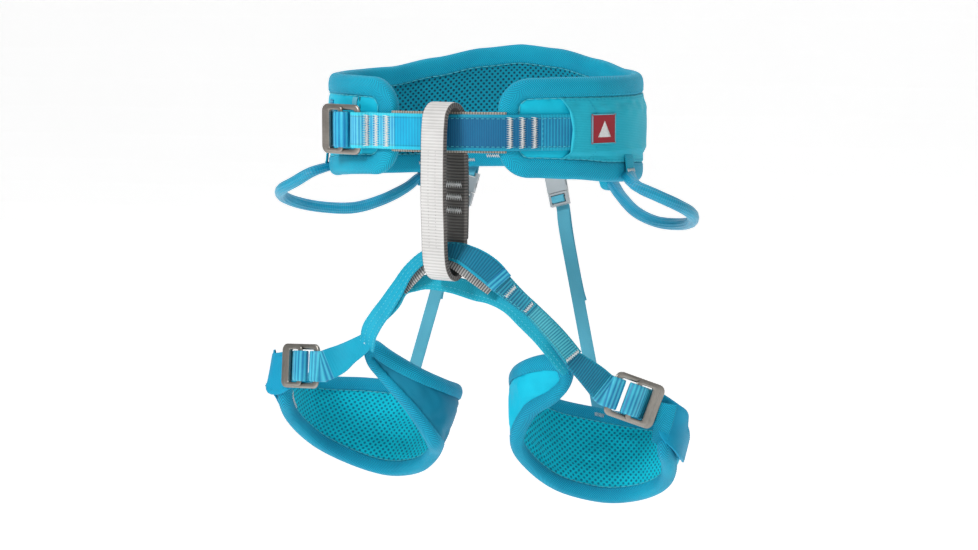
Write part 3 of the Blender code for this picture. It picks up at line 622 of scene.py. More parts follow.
# ---- meshes -------------------------------------------------------------------------
def make(name, points, faces, looks, body, nodes=(), picks=None, uv=None):
    """Link one smooth-shaded piece that rides on a body and stands for some CAD nodes.

    body may be (first, second, start, end); such a piece is left on no body and does not bend.
    """
    mesh = bpy.data.meshes.new(name)
    mesh.from_pydata((points * MM).tolist(), [], faces)
    for mat in looks:
        mesh.materials.append(mat)
    if picks is not None:
        mesh.polygons.foreach_set("material_index", np.asarray(picks, np.int32))
    if uv is not None:
        layer = mesh.uv_layers.new(name="cloth_mm")
        layer.data.foreach_set("uv", np.asarray(uv, np.float32).ravel())
    mesh.polygons.foreach_set("use_smooth", np.ones(len(faces), bool))
    mesh.update()
    made = bpy.data.objects.new(name, mesh)
    bpy.context.scene.collection.objects.link(made)
    if isinstance(body, str):
        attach(made, body)
    else:
        np.array(body[2]) * MM
        np.array(body[3]) * MM
        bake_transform(made)
    if nodes:
        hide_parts(*nodes)
    return made


def swept(name, rings, looks, body, nodes=(),
          closed=False, picks=None, run=None, girth=None, flat=None):
    """Closed body through equal rings; run and girth, or flat, give its UV in millimetres."""
    rings = np.asarray(rings, float)
    n, m = rings.shape[:2]
    if run is None:
        middle = rings.mean(1)
        run = run_of(np.vstack([middle, middle[:1]]) if closed else middle)
    if girth is None:
        girth = run_of(np.vstack([rings[n // 2], rings[n // 2][:1]]))
    i, j = np.meshgrid(np.arange(n if closed else n - 1), np.arange(m), indexing="ij")
    i, j = i.ravel(), j.ravel()
    after, across = (i + 1) % n, (j + 1) % m
    quads = np.stack([i * m + j, i * m + across, after * m + across, after * m + j], 1)
    uv = np.stack([np.stack([run[i], girth[j]], 1), np.stack([run[i], girth[j + 1]], 1),
                   np.stack([run[i + 1], girth[j + 1]], 1), np.stack([run[i + 1], girth[j]], 1)], 1)
    if flat is not None:
        uv = flat.reshape(-1, 2)[quads]
    points = rings.reshape(-1, 3)
    a, b, c, d = (points[quads[:, k]] for k in range(4))
    volume = (a * np.cross(b, c)).sum() + (a * np.cross(c, d)).sum()
    if volume < 0:
        quads = quads[:, ::-1]
        uv = uv[:, ::-1]
    faces = quads.tolist()
    uv = uv.reshape(-1, 2)
    index = None if picks is None else np.asarray(picks)[j]
    if not closed:
        first, last = list(range(m)), list(range((n - 1) * m, n * m))
        faces += [first[::-1], last] if volume > 0 else [first, last[::-1]]
        uv = np.vstack([uv, np.tile([[run[0], 0.0]], (m, 1)), np.tile([[run[-1], 0.0]], (m, 1))])
        if index is not None:
            index = np.concatenate([index, [0, 0]])
    return make(name, points, faces, looks, body, nodes, index, uv)


def tape(name, strap, looks, body, nodes=(),
         start=0.0, end=None, pitch=2.2, rib=0.13, across=11, layers=1):
    """Ribbed tape over part of a strap; looks are (outer, inner, edge) or just (outer,).

    layers above 1 shows that many sewn layers as lobes along the edges.
    """
    end = strap.length if end is None else end
    count = max(4, int((end - start) / (pitch / 5)))
    s = np.linspace(start, end, count + 1)
    if strap.closed:
        s = s[:-1]
    rise = rib * (np.sqrt(0.5 + 0.5 * np.cos(TAU * s / pitch)) - 0.5)
    deep = strap.thick / 2
    lobe = deep / layers
    half = strap.half_at(s)
    share = np.linspace(1, -1, across)
    crown = 0.10 * (1 - share ** 6)
    edge = []
    for k in range(layers):
        for angle in (50, 0, -50):
            phi = math.radians(angle)
            edge.append((lobe * (math.cos(phi) - 1), deep - (2 * k + 1) * lobe + lobe * math.sin(phi)))
    columns = []
    for w, lift in zip(share, crown):
        columns.append(((half - lobe) * w, deep - 0.05 + lift + rise))
    for inset, level in edge:
        columns.append((-(half + inset + rise * 0.5), level + rise * 0.3 * np.sign(level)))
    for w, lift in zip(share[::-1], crown):
        columns.append(((half - lobe) * w, -(deep - 0.05 + lift + rise)))
    for inset, level in edge[::-1]:
        columns.append((half + inset + rise * 0.5, level + rise * 0.3 * np.sign(level)))
    rings = np.stack([strap.at(s, x, lift) for x, lift in columns], 1)
    run = np.append(s, end) if strap.closed else s
    wide = float(np.median(half))
    girth = run_of(np.vstack([rings[len(s) // 2], rings[len(s) // 2][:1]])) - (wide - lobe)
    picks = None
    if len(looks) > 1:
        side = across + len(edge)
        picks = np.zeros(len(columns), int)
        picks[across - 1:side] = len(looks) - 1
        picks[side:side + across - 1] = 1
        picks[side + across - 1:] = len(looks) - 1
    return swept(name, rings, looks, body, nodes, strap.closed, picks, run, girth)


def threads(name, paths, radius, look, body, sides=6):
    """One mesh of sewing thread, a thin tapered tube along each path."""
    points = []
    faces = []
    start = 0
    angle = np.arange(sides) * TAU / sides
    for path in paths:
        path = np.asarray(path, float)
        along = unit(np.gradient(path, axis=0))
        side = unit(np.cross(along, [0.31, 0.47, 0.83]))
        up = np.cross(along, side)
        size = np.full(len(path), radius)
        size[0] = size[-1] = radius * 0.4
        ring = (path[:, None] + side[:, None] * (np.cos(angle)[None, :, None] * size[:, None, None])
                + up[:, None] * (np.sin(angle)[None, :, None] * size[:, None, None]))
        points.append(ring.reshape(-1, 3))
        for i in range(len(path) - 1):
            for j in range(sides):
                k = (j + 1) % sides
                faces.append((start + i * sides + j, start + i * sides + k,
                              start + (i + 1) * sides + k, start + (i + 1) * sides + j))
        faces.append(tuple(start + j for j in reversed(range(sides))))
        faces.append(tuple(start + (len(path) - 1) * sides + j for j in range(sides)))
        start += len(path) * sides
    points = np.vstack(points)
    return make(name, points, faces, [look], body, uv=np.zeros((sum(len(f) for f in faces), 2)))


def dashes(place, start, end, stitch=2.5, gap=1.1, lift=STITCH_LIFT):
    """Running stitches; place(t, lift) gives the points of a seam for runs t."""
    count = max(1, int(round((end - start) / (stitch + gap))))
    span = (end - start) / count
    share = np.linspace(0, 1, 5) * stitch / (stitch + gap)
    rise = lift * np.array([-0.8, 0.7, 1.0, 0.7, -0.8])
    return [place(start + (k + share) * span, rise) for k in range(count)]


def zigzag(place, centre, half, breadth, step, lift=0.22):
    """Dense zigzag of a bar tack; place(run, across, lift) gives points."""
    count = int(2 * half / step)
    t = np.arange(2 * count + 1)
    across = half * (1 - t / count)
    run = centre + breadth / 2 * np.where(t % 4 == 0, -1.0, np.where(t % 4 == 2, 1.0, 0.0))
    rise = np.where(t % 2 == 0, lift * 0.2, lift)
    return [place(run, across, rise)]


def bar_tack(strap, centre, share=0.8, breadth=4.6, face=1, step=0.75):
    """Two zigzags over each other across a strap, on its upper (1) or under (-1) face."""
    def place(run, across, rise):
        return strap.at(run, across, face * (strap.thick / 2 + rise))
    half = float(strap.half_at(np.array([centre]))[0]) * share
    upper = zigzag(place, centre + 0.3, half, breadth * 0.5, step * 0.8, 0.34)
    return zigzag(place, centre, half, breadth, step) + upper


def seam(strap, x, start, end, face=1, stitch=2.5, gap=1.1, lift=STITCH_LIFT):
    """Running stitch along a strap at a distance x across it."""
    def place(run, rise):
        return strap.at(run, x, face * (strap.thick / 2 + SEAM_OFF + rise))
    return dashes(place, start, end, stitch, gap, lift)


def cross_seam(strap, s, share=0.85, face=1, stitch=1.9, gap=1.3):
    """Running stitch straight across a strap."""
    half = float(strap.half_at(np.array([s]))[0]) * share
    def place(across, rise):
        return strap.at(np.full(len(across), s), across, face * (strap.thick / 2 + SEAM_OFF + rise))
    return dashes(place, -half, half, stitch, gap)


# ---- cloth --------------------------------------------------------------------------
def settle(piece, pins, pressure, grow, frames, rise, sink):
    """Run a cloth simulation with air inside, hold the pinned points and cap how far any moves."""
    group = piece.vertex_groups.new(name="held")
    for level in np.unique(pins):
        group.add([int(i) for i in np.nonzero(pins == level)[0]], float(level), 'REPLACE')
    cloth = piece.modifiers.new("cloth", 'CLOTH')
    cloth.settings.quality = 5
    cloth.settings.mass = 0.15
    cloth.settings.tension_stiffness = 25
    cloth.settings.compression_stiffness = 25
    cloth.settings.shear_stiffness = 10
    cloth.settings.bending_stiffness = 1.5
    cloth.settings.use_pressure = True
    cloth.settings.uniform_pressure_force = pressure
    cloth.settings.shrink_min = -grow
    cloth.settings.vertex_group_mass = "held"
    cloth.settings.effector_weights.gravity = 0.0
    cloth.collision_settings.use_collision = False
    cloth.point_cache.frame_start = 1
    cloth.point_cache.frame_end = frames
    scene = bpy.context.scene
    for number in range(1, frames + 1):
        scene.frame_set(number)
    graph = bpy.context.evaluated_depsgraph_get()
    moved = np.array([v.co for v in piece.evaluated_get(graph).data.vertices], float)
    rest = np.array([v.co for v in piece.data.vertices], float)
    normal = np.array([v.normal for v in piece.data.vertices], float)
    piece.modifiers.remove(cloth)
    piece.vertex_groups.clear()
    scene.frame_set(1)
    shift = np.nan_to_num(moved - rest)
    out = (shift * normal).sum(1, keepdims=True)
    slide = shift - out * normal
    reach = np.maximum(np.linalg.norm(slide, axis=1, keepdims=True), 1e-9)
    slide *= np.minimum(1.0, SLIDE_LIMIT * MM / reach)
    out = np.clip(out, -sink * MM, rise[:, None] * MM)
    piece.data.vertices.foreach_set("co", (rest + slide + out * normal).astype(np.float32).ravel())
    piece.data.update()


# ---- pads ---------------------------------------------------------------------------
def ring_point(angle, z, out=0.0):
    """Point on the waist ring, angle in degrees from the back towards +X."""
    angle, z, out = np.broadcast_arrays(np.asarray(angle, float), z, out)
    t = np.radians(angle)
    face = unit(np.stack([np.sin(t) / RING_X, np.cos(t) / RING_Y, 0 * t], -1))
    return np.stack([RING_X * np.sin(t), RING_Y * np.cos(t), z], -1) + face * out[..., None]


def waist_band():
    angle = np.linspace(-WAIST_END, WAIST_END, 481)
    low = ring_point(angle, table(WAIST_LOW, np.abs(angle)))
    high = ring_point(angle, table(WAIST_TOP, np.abs(angle)))
    return Band(low, high, np.zeros(3), 1.2, WAIST_CORNER)


def leg_band(side):
    z = 2 if side < 0 else 3
    low = curve([(side * row[0], row[1], row[z]) for row in LEG_LOW], 16)
    high = curve([(side * row[0], row[1], row[z]) for row in LEG_TOP], 16)
    return Band(low, high, np.array([side * 88.0, 0, -215]), 1.5, LEG_CORNER, shift=-3.5)


def pad(name, band, looks, body, nodes, across, step, width, webbed=None):
    """Padded panel: outer fabric, lining and foam in one closed cloth body."""
    a, limit = band.rows(1.2, step)
    share = np.linspace(1, -1, across)
    inner = np.clip((1 - np.abs(share)) * band.half(a)[:, None] / width - PAD_EDGE, 0, 1)
    ends = np.clip((np.minimum(a, band.length - a) / width - PAD_EDGE), 0, 1)[:, None]
    free = np.minimum(inner, ends)
    swell = free ** 0.5 * PAD_PUFF
    top = np.stack([band.at(a, limit * w, PAD_OUT + swell[:, k]) for k, w in enumerate(share)], 1)
    under = np.stack([band.at(a, limit * w, -PAD_OUT - swell[:, k]) for k, w in enumerate(share)], 1)
    rings = np.concatenate([top, under[:, ::-1]], 1)
    gaps = np.linalg.norm(np.diff(rings, axis=0), axis=2)
    along = np.concatenate([np.zeros((1, 2 * across)), gaps.cumsum(0)])
    along -= along[len(a) // 2]
    line = share * (limit * band.half(a))[:, None]
    flat = np.stack([along, np.concatenate([line, line[:, ::-1]], 1)], 2)
    picks = np.repeat([0, 1], across)
    piece = swept(name, rings, looks, body, nodes, picks=picks, flat=flat)
    free = np.concatenate([free, free[:, ::-1]], 1).ravel()
    rise = np.where(np.arange(len(free)) % (2 * across) < across, RISE_OUT, RISE_IN)
    rise = rise * np.clip(free * 3, 0.1, 1)
    pins = np.where(free <= 0, 1.0, 0.0)
    if webbed is not None:
        hold = webbed(rings.reshape(-1, 3))
        pins = np.maximum(pins, hold)
        rise = np.where(hold > 0, RISE_HELD, rise)
    settle(piece, pins, pressure=1.2, grow=0.03, frames=18, rise=rise, sink=0.8)
    return piece


def binding(name, band, width, looks, body, nodes, step=2.2):
    """Puffy tape folded over the whole edge of a pad."""
    flank = [(width + 0.2, BIND_IN + 0.1), (width - 0.6, BIND_OUT - 0.3), (width * 0.7, BIND_OUT + 0.25),
             (width * 0.4, BIND_OUT + 0.3), (1.6, BIND_OUT - 0.3), (-0.4, 3.2), (-1.35, 1.2)]
    outer = curve(flank + [(inset, -out) for inset, out in flank[::-1]], 3)
    inside = [(width * 0.6, -2.6), (0.6, -2.4), (0.6, 2.4), (width * 0.6, 2.6)]
    section = np.vstack([outer, inside])
    loops = [band.outline(inset, step) for inset, _ in section]
    rings = np.stack([band.at(a, w, out) for (a, w), out in zip(loops, section[:, 1])], 1)
    girth = run_of(np.vstack([section, section[:1]]))
    girth -= girth[len(outer) // 2]
    return swept(name, rings, looks, body, nodes, closed=True, girth=girth)


def edge_seam(band, inset, out, stitch=2.6, gap=1.0, lift=STITCH_LIFT):
    """Stitch line that follows a pad's outline on one of its faces."""
    a, w = band.outline(inset, 1.0)
    points = band.at(a, w, out)
    face = unit(band.at(a, w, out + math.copysign(1.0, out)) - points)
    points = np.vstack([points, points[:1]])
    face = np.vstack([face, face[:1]])
    run = run_of(points)
    def place(t, rise):
        return pick(t, run, points) + pick(t, run, face) * rise[:, None]
    return dashes(place, 0, run[-1], stitch, gap, lift)


def edge_stitches(name, band, inset, looks, body):
    """Stitch lines through the binding, on both faces of a pad."""
    both = edge_seam(band, inset, BIND_OUT - 0.1) + edge_seam(band, inset, 0.1 - BIND_OUT)
    threads(name, both, SEAM_THREAD, looks["seam"], body)


# ---- waist belt -----------------------------------------------------------------------
def belt_row(angle, out, z=BELT_Z):
    return ring_point(angle, z, out), np.array([0.0, 0.0, 1.0])


def waist_buckle_frame():
    face = ring_point(WAIST_BUCKLE_AT, 0, 1) - ring_point(WAIST_BUCKLE_AT, 0)
    lift = math.radians(WAIST_BUCKLE_LIFT)
    face = np.array([face[0] * math.cos(lift) - face[1] * math.sin(lift),
                     face[0] * math.sin(lift) + face[1] * math.cos(lift), face[2]])
    front = np.array([-face[1], face[0], face[2]])
    return Frame(ring_point(WAIST_BUCKLE_AT, BELT_Z, 8.9), front, face)


def hump_rows(place, points):
    """Rows of a strap seen edge on, from (p, q) points in a buckle frame."""
    across = place.r if place.r[2] > 0 else -place.r
    return [(place.at(p, q), across) for p, q in points]


def under_webbing(points):
    """1 where the belt webbing or the sleeve lies over the waist pad's outer face."""
    radius = np.hypot(points[:, 0] / RING_X, points[:, 1] / RING_Y)
    return np.where((np.abs(points[:, 2] - BELT_Z) < BELT_WEB / 2 + 2) & (radius > 1), 1.0, 0.0)


def build_waist_pad(looks):
    band = waist_band()
    pad("waist_pad", band, [looks["shell"], looks["lining"]], "waist",
        ("waist_foam", "waist_shell", "waist_lining"), 25, 3.2, WAIST_BIND, under_webbing)
    binding("waist_edge_tape", band, WAIST_BIND, [looks["binding"]], "waist",
            ("waist_binding",))
    edge_stitches("waist_edge_stitches", band, WAIST_BIND - 1.6, looks, "waist")
    piping = []
    for inset, out in ((WAIST_BIND + 0.7, -PAD_OUT - 0.75), (WAIST_BIND + 0.7, PAD_OUT + 0.75)):
        piping += edge_seam(band, inset, out, 5.2, 0.3, 0.15)
    threads("waist_edge_piping", piping, 0.32, looks["pale_seam"], "waist")


def build_waist_webbing(looks):
    place = waist_buckle_frame()
    wrap = hump_rows(place, STRAP_WRAP)
    front = [belt_row(-154.0, 8.6), belt_row(-158.0, 8.4), belt_row(-163.0, 7.0),
             belt_row(-171.0, 5.9), belt_row(-180.0, 5.2), belt_row(-189.0, 5.9),
             belt_row(-197.0, 7.0), belt_row(-204.0, 7.1), belt_row(-211.0, 6.3),
             belt_row(-220.0, 6.2), belt_row(-229.0, 6.1), belt_row(-236.0, 6.1)]
    strap = Strap([belt_row(-154.0, 6.3), belt_row(-151.5, 6.3)] + wrap + front, BELT_WEB, WEB_THICK)
    split = strap.near(belt_row(-176.0, 5.5)[0], 60)
    folded = strap.near(belt_row(-160.0, 8.3)[0], 60)
    sewn = strap.near(belt_row(-214.5, 6.3)[0], 60)
    for part, look, nodes, start, end, pitch, rib in (
            # the fold at the buckle gets a copy of the belt tape with near-white rib crests: painted
            # highlight
            ("_folded", "belt_fold_painted_highlight", ("waist_front_webbing",), 0, folded, 2.2, 0.24),
            ("", "belt_middle", (), folded, split, 2.2, 0.16),
            ("_left", "belt_deep", (), split, sewn, 1.6, 0.05),
            ("_end", "belt_ribs", (), sewn, None, 2.2, 0.16)):
        tape("waist_front_strap" + part, strap, [looks[look]], "waist", nodes,
             start, end, pitch, rib)
    white = []
    for angle in (-149.4, -154.3, -158.9):
        white += bar_tack(strap, strap.near(belt_row(angle, 9.0)[0], 24), 0.86, 5.2, 1, 0.8)
    for angle in (-203.8, -208.0, -212.4):
        white += bar_tack(strap, strap.near(belt_row(angle, 6.9)[0], 60), 0.84, 4.6)
    threads("waist_strap_tacks", white, TACK_THREAD, looks["white"], "waist")
    pale = cross_seam(strap, strap.near(belt_row(-215.4, 6.3)[0], 60), 0.95)
    for x in (-9.6, 9.6):
        pale += seam(strap, x, split, strap.length - 2)
    threads("waist_strap_stitches", pale, SEAM_THREAD, looks["pale_seam"], "waist")
    anchor = hump_rows(place, [(-19.0, 2.9)] + ANCHOR_WRAP[::-1])
    back = [belt_row(angle, 6.3 if angle < -110 else 5.7) for angle in range(-126, 120, 14)]
    behind = Strap(anchor + back, BELT_WEB, WEB_THICK)
    hump = behind.near(place.at(-15.5, 0.6), 20)
    # the rear fold is glossy through its low roughness and also has brighter rib crests painted as highlights
    tape("waist_rear_fold", behind, [looks["belt_gloss_painted_highlight"]], "waist", ("waist_back_webbing",),
         0, hump, 2.2, 0.2)
    tape("waist_rear_strap", behind, [looks["belt_ribs"]], "waist", (), hump)
    rows = [belt_row(angle, out) for angle, out in
            ((-160.0, 5.3), (-163, 4.9), (-171, 3.8), (-180, 3.4), (-189, 3.8), (-197, 4.9), (-202.5, 5.6))]
    tape("waist_wear_strip", Strap(rows, 28.0, 0.8), [looks["stripe_stone"]], "waist",
         ("waist_wear_tape",), pitch=1.9, rib=0.22)
    build_buckle("waist", place, BELT_WEB / 2, 5.5, looks["steel"], "waist")


def build_waist_marks(looks):
    """White tacks where the rear tapes are sewn on, the short grey tape over the buckle, and a dark thread
    beside it painted as the shadow in the gap.
    """
    marks = []
    for middle, half, z in ((-9.5, 4.2, -25.4), (-20.5, 1.8, -28.5), (-41.0, 2.2, -30.5)):
        def place(run, across, rise, middle=middle, z=z):
            return ring_point(middle + across, z + run, -BIND_OUT - 0.2 - rise)
        marks += zigzag(place, 0.0, half, 2.4, 0.4, 0.4)
    threads("waist_rear_tacks", marks, 0.32, looks["white"], "waist")
    rows = ring_rows(-140.6, ((14.5, 4.3), (16, 5.2), (22, 5.2), (24.2, 4.2)))
    tape("waist_grey_tape", Strap(rows, 5.5, 0.8), [looks["elastic"]], "waist",
         pitch=1.2, rib=0.06)
    # a dark thread laid in the gap beside the grey tape: painted shadow
    slit = [ring_point(-143.3 - 0.35 * np.sin(np.linspace(0, math.pi, 14)), np.linspace(14.8, 24.6, 14), 4.6)]
    threads("waist_slit_painted_shadow", slit, 0.5, looks["dark"], "waist")


def plate(name, place, outer, inner, low, high, corner, look, body, nodes, dome=0.0):
    """Steel ring between two rounded rectangles, its edges well rounded."""
    def rounded(p0, p1, half, radius):
        line = []
        for cp, cr, start in ((p1 - radius, half - radius, 0), (p0 + radius, half - radius, 90),
                              (p0 + radius, radius - half, 180), (p1 - radius, radius - half, 270)):
            angle = np.radians(start + np.linspace(0, 90, 9))
            line.append(np.stack([cp + radius * np.cos(angle), cr + radius * np.sin(angle)], 1))
        out = []
        for k in range(4):
            out.append(line[k])
            ends = line[k][-1], line[(k + 1) % 4][0]
            out.append(np.array([ends[0] + (ends[1] - ends[0]) * t for t in (0.2, 0.4, 0.6, 0.8)]))
        return np.vstack(out)
    out = rounded(*outer, corner)
    hole = rounded(*inner, corner * 0.4)
    wide = np.linalg.norm(hole - out, axis=1)
    toward = unit(hole - out)
    tall = high - low
    bevel = np.minimum(0.46 * tall, 0.46 * wide)
    section = []
    for cu, cz, start in ((1, 1, 0), (0, 1, 90), (0, 0, 180), (1, 0, 270)):
        for degrees in np.linspace(0, 90, 5):
            angle = math.radians(start + degrees)
            u = np.where(cu, wide - bevel, bevel) + bevel * math.cos(angle)
            z = np.where(cz, tall - bevel, bevel) + bevel * math.sin(angle)
            section.append((u, low + z + dome * np.sin(np.clip(u / wide, 0, 1) * math.pi)))
    rings = np.stack([place.at(out[:, 0] + toward[:, 0] * u, z, out[:, 1] + toward[:, 1] * u)
                      for u, z in section], 1)
    return swept(name, rings, [look], body, nodes, closed=True)


def build_buckle(prefix, place, half, corner, look, body):
    plate(prefix + "_steel_frame", place, (-19, 20, half + 5.0), (-10, 15, half + 0.9), 4.3, 6.6, corner,
          look, body, (prefix + "_buckle_frame",), 0.25)
    plate(prefix + "_steel_slider", place, (-14, 4.2, half + 3.4), (-9, 0.0, half + 0.9), 6.95, 8.5, 3.0,
          look, prefix + "_slider", (prefix + "_buckle_slider",), 0.1)


def ring_rows(angle, points):
    """Rows of an upright strap at one ring angle, from (z, out) points."""
    side = unit(ring_point(angle + 1, 0) - ring_point(angle - 1, 0))
    return [(ring_point(angle, z, out), side) for z, out in points]


def build_keeper(looks):
    rows = ring_rows(-119, ((-17, 5.4), (-13.4, 5.6), (-12.6, 7.4), (-10, 8.2), (2, 8.5), (14, 8.2),
                            (16.6, 7.4), (17.4, 5.6), (21, 5.4)))
    tape("waist_keeper_band", Strap(rows, 9.0, 0.8), [looks["belt_ribs"]], "waist",
         ("waist_tail_keeper",), pitch=1.3, rib=0.1)


def sleeve_height(angle, i):
    """Height of the sleeve's line i: edges follow the binding, the rest the webbing."""
    low = table(WAIST_LOW, np.abs(angle)) + WAIST_BIND + 0.9
    high = table(WAIST_TOP, np.abs(angle)) - WAIST_BIND - 0.9
    near = BELT_Z - BELT_WEB / 2 - 1.3
    far = BELT_Z + BELT_WEB / 2 + 1.3
    return [low, (low + near) / 2, near, -5.0, BELT_Z, 9.0, far, (high + far) / 2, high][i]


class Sleeve:
    """Fabric panel over the belt webbing: u runs back from the front hem, i up the lines."""
    lift = [4.95, 5.1, 7.5, 7.7, 7.8, 7.7, 7.5, 5.2, 4.95]
    front = [137.0, 135.4, 134.2, 133.3, 133.0, 133.3, 134.2, 135.6, 137.6]

    def __init__(self):
        share = np.linspace(0, 1, 9)
        self.line = np.linspace(0, 1, 65)
        self.u = np.linspace(0, 1, 97)
        grid = []
        for u in self.u:
            angle = np.array(self.front) + (SLEEVE_BACK - np.array(self.front)) * u
            z = np.array([sleeve_height(angle[i], i) for i in range(9)])
            drop = np.where((np.arange(9) > 1) & (np.arange(9) < 7), 0.5 * u, 0.0)
            row = curve(np.stack([angle, z, np.array(self.lift) - drop], 1), 8)
            row[:, 2] = np.interp(self.line, share, np.array(self.lift) - drop)
            grid.append(row)
        self.grid = np.array(grid)

    def wrinkle(self, angle, z):
        """Soft diagonal folds running down from the top edge, and some near the bottom."""
        top = np.clip((z - 8) / 14, 0, 1)
        low = np.clip((-6 - z) / 10, 0, 1)
        slant = np.sin(angle * 0.55 + z * 0.42) + 0.5 * np.sin(angle * 0.93 - z * 0.21 + 1.0)
        lower = np.sin(angle * 0.5 - z * 0.5)
        return 0.42 * top * slant + 0.3 * low * lower + 0.12 * np.sin(angle * 0.31 + z * 0.13)

    def at(self, u, line, out=0.0):
        u, line, out = np.broadcast_arrays(np.asarray(u, float), line, out)
        values = []
        for k in range(3):
            i = np.clip(u * 96, 0, 95.999)
            j = np.clip(line * 64, 0, 63.999)
            i0, j0 = i.astype(int), j.astype(int)
            fi, fj = i - i0, j - j0
            g = self.grid[:, :, k]
            values.append((g[i0, j0] * (1 - fi) * (1 - fj) + g[i0 + 1, j0] * fi * (1 - fj)
                           + g[i0, j0 + 1] * (1 - fi) * fj + g[i0 + 1, j0 + 1] * fi * fj))
        angle, z, lift = values
        edge = np.clip(np.minimum(line, 1 - line) * 8, 0, 1)
        return ring_point(angle, z, lift + out + self.wrinkle(angle, z) * edge + 0.3 * edge)


def build_sleeve(looks):
    sleeve = Sleeve()
    u, line = np.meshgrid(np.linspace(0, 1, 97), np.linspace(0, 1, 65), indexing="ij")
    hem = 0.35 * np.exp(-(u / 0.02) ** 2)
    top = sleeve.at(u, line, 0.5 + hem)
    under = sleeve.at(u, line, -0.25)
    rings = np.concatenate([top, under[:, ::-1]], 1)
    swept("waist_sleeve_panel", rings, [looks["sleeve"]], "waist", ("waist_sleeve",))
    stitches = []
    for u0, stitch, gap in ((0.015, 1.2, 0.5), (0.20, 1.9, 1.3)):
        def down(t, rise, u0=u0):
            return sleeve.at(np.full(len(t), u0), t / 50.0, 0.55 + rise)
        stitches += dashes(down, 1.5, 48.5, stitch, gap, 0.18)
    for level in (0.035, 0.965):
        def along(t, rise, level=level):
            return sleeve.at(t / 100.0, np.full(len(t), level), 0.55 + rise)
        stitches += dashes(along, 1, 99, 2.2, 1.3, 0.18)
    threads("waist_sleeve_stitches", stitches, SEAM_THREAD, looks["seam"], "waist")
    build_label(looks)


def build_label(looks):
    """Woven label with a pale border and a plain raised triangle."""
    def place(angle, z, out):
        return ring_point(angle, z, 8.95 + out)
    front, back = LABEL_ANGLES
    low, high = LABEL_HEIGHTS
    angle, z = np.meshgrid(np.linspace(front, back, 25), np.linspace(low, high, 31), indexing="ij")
    inset = np.minimum(np.minimum(front - angle, angle - back) * 1.7, np.minimum(z - low, high - z))
    border = 0.12 * np.exp(-(inset / 0.5) ** 2)
    rings = np.concatenate([place(angle, z, 0.25 + border), place(angle, z, -0.25)[:, ::-1]], 1)
    height = z[0]
    girth = np.concatenate([height, height[::-1], height[:1]])
    swept("waist_label_patch", rings, [looks["label"]], "waist", ("waist_label",),
          girth=girth, run=np.linspace(0, 21.0, 25))
    trim = []
    front, back, low, high = front - 0.3, back + 0.3, low + 0.3, high - 0.3
    corners = [(front, low), (front, high), (back, high), (back, low), (front, low)]
    for (a0, z0), (a1, z1) in zip(corners, corners[1:]):
        t = np.linspace(0, 1, 12)
        trim.append(place(a0 + (a1 - a0) * t, z0 + (z1 - z0) * t, 0.3))
    threads("waist_label_trim", trim, 0.33, looks["pale_seam"], "waist")
    mark = []
    for level in np.linspace(-1.7, 8.9, 37):
        wide = 3.1 * (9.2 - level) / 10.9
        mark.append(place(119.6 + np.linspace(-wide, wide, 5), np.full(5, level), 0.33))
    threads("waist_label_mark", mark, 0.24, looks["white"], "waist")


# ---- gear loops -------------------------------------------------------------------------
def build_gear_loop(side, word, looks):
    points = [(side * x, y, right if side < 0 else left) for x, y, right, left in GEAR_PATH]
    end = points[-1]
    points = [tuple(ring_point(side * GEAR_TAB_AT, -28.0, 4.4))] + points[1:-1]
    points += [end, (end[0] - side * 3.2, end[1] + 2.4, end[2] + 0.6)]
    path = curve(points, 30, False, points)
    run = run_of(path)
    s = np.linspace(0, run[-1], 300)
    path = pick(s, run, path)
    along = unit(np.gradient(path, axis=0))
    out = unit(np.cross(along, [0.0, 0, 1]))
    up = np.cross(out, along)
    end = np.minimum(s, run[-1] - s)
    flat = 1.0 - 0.28 * np.clip(1 - end / 26.0, 0, 1)
    sides = 84
    angle = np.arange(sides) * TAU / sides
    def rings(radius, ribs):
        size = radius * (1 + ribs * np.cos(12 * angle))[None, :] * np.ones(len(s))[:, None]
        size = size * (1 + 0.012 * np.sin(s / 9.0 + side))[:, None]
        across = np.cos(angle)[None, :] * size / flat[:, None]
        lift = np.sin(angle)[None, :] * size * flat[:, None]
        return (path[:, None] + out[:, None] * across[..., None] + up[:, None] * lift[..., None])
    outer = rings(GEAR_TUBE * 0.96, 0.045)
    inner = rings(GEAR_CORE + 0.45, 0.0)
    both = np.concatenate([outer, inner[::-1]], 0)
    both = np.transpose(both, (1, 0, 2))
    n = both.shape[1]
    girth = np.concatenate([s, s[::-1] + 0.4, [0.0]])[:n + 1]
    body = "gear_" + word
    swept("gear_cover_" + word, both, [looks["gear"]], body, ("gear_tube_" + word,),
          closed=True, girth=girth, run=np.linspace(0, TAU * GEAR_TUBE, sides + 1))
    core = rings(GEAR_CORE, 0.03)[8:-8]
    swept("gear_rope_" + word, core, [looks["core"]], body, ("gear_core_" + word,))


def build_gear_tab(side, word, looks):
    """Front tab that holds the loop's tube, and the sling sewn round its rear end."""
    tab = ring_rows(side * GEAR_TAB_AT, ((-15.5, 5.6), (-18.0, 6.6), (-23.5, 7.2), (-29.5, 8.2)))
    strap = Strap(tab, 10.5, 1.2)
    tape("gear_tab_tape_" + word, strap, [looks["cross"]], "waist", ("gear_tab_" + word,),
         pitch=1.4, rib=0.12)
    sling = ((-30.0, 5.5), (-36.0, 6.2), (-39.6, 9.6), (-43.5, 11.6), (-47.2, 9.6), (-48.2, 6.2),
             (-46.4, 2.6), (-42.5, 0.8), (-37.5, 0.2))
    rear = Strap(ring_rows(side * GEAR_SLING_AT, sling), 9.0, 1.1)
    tape("gear_rear_tab_tape_" + word, rear, [looks["binding"]], "waist", pitch=1.4, rib=0.12)
    face = 1 if (strap.up[0] * ring_point(side * GEAR_TAB_AT, 0)).sum() > 0 else -1
    threads("gear_tab_tack_" + word, bar_tack(strap, strap.length - 3.0, 0.9, 3.2, face, 0.7), TACK_THREAD,
            looks["white"], "waist")


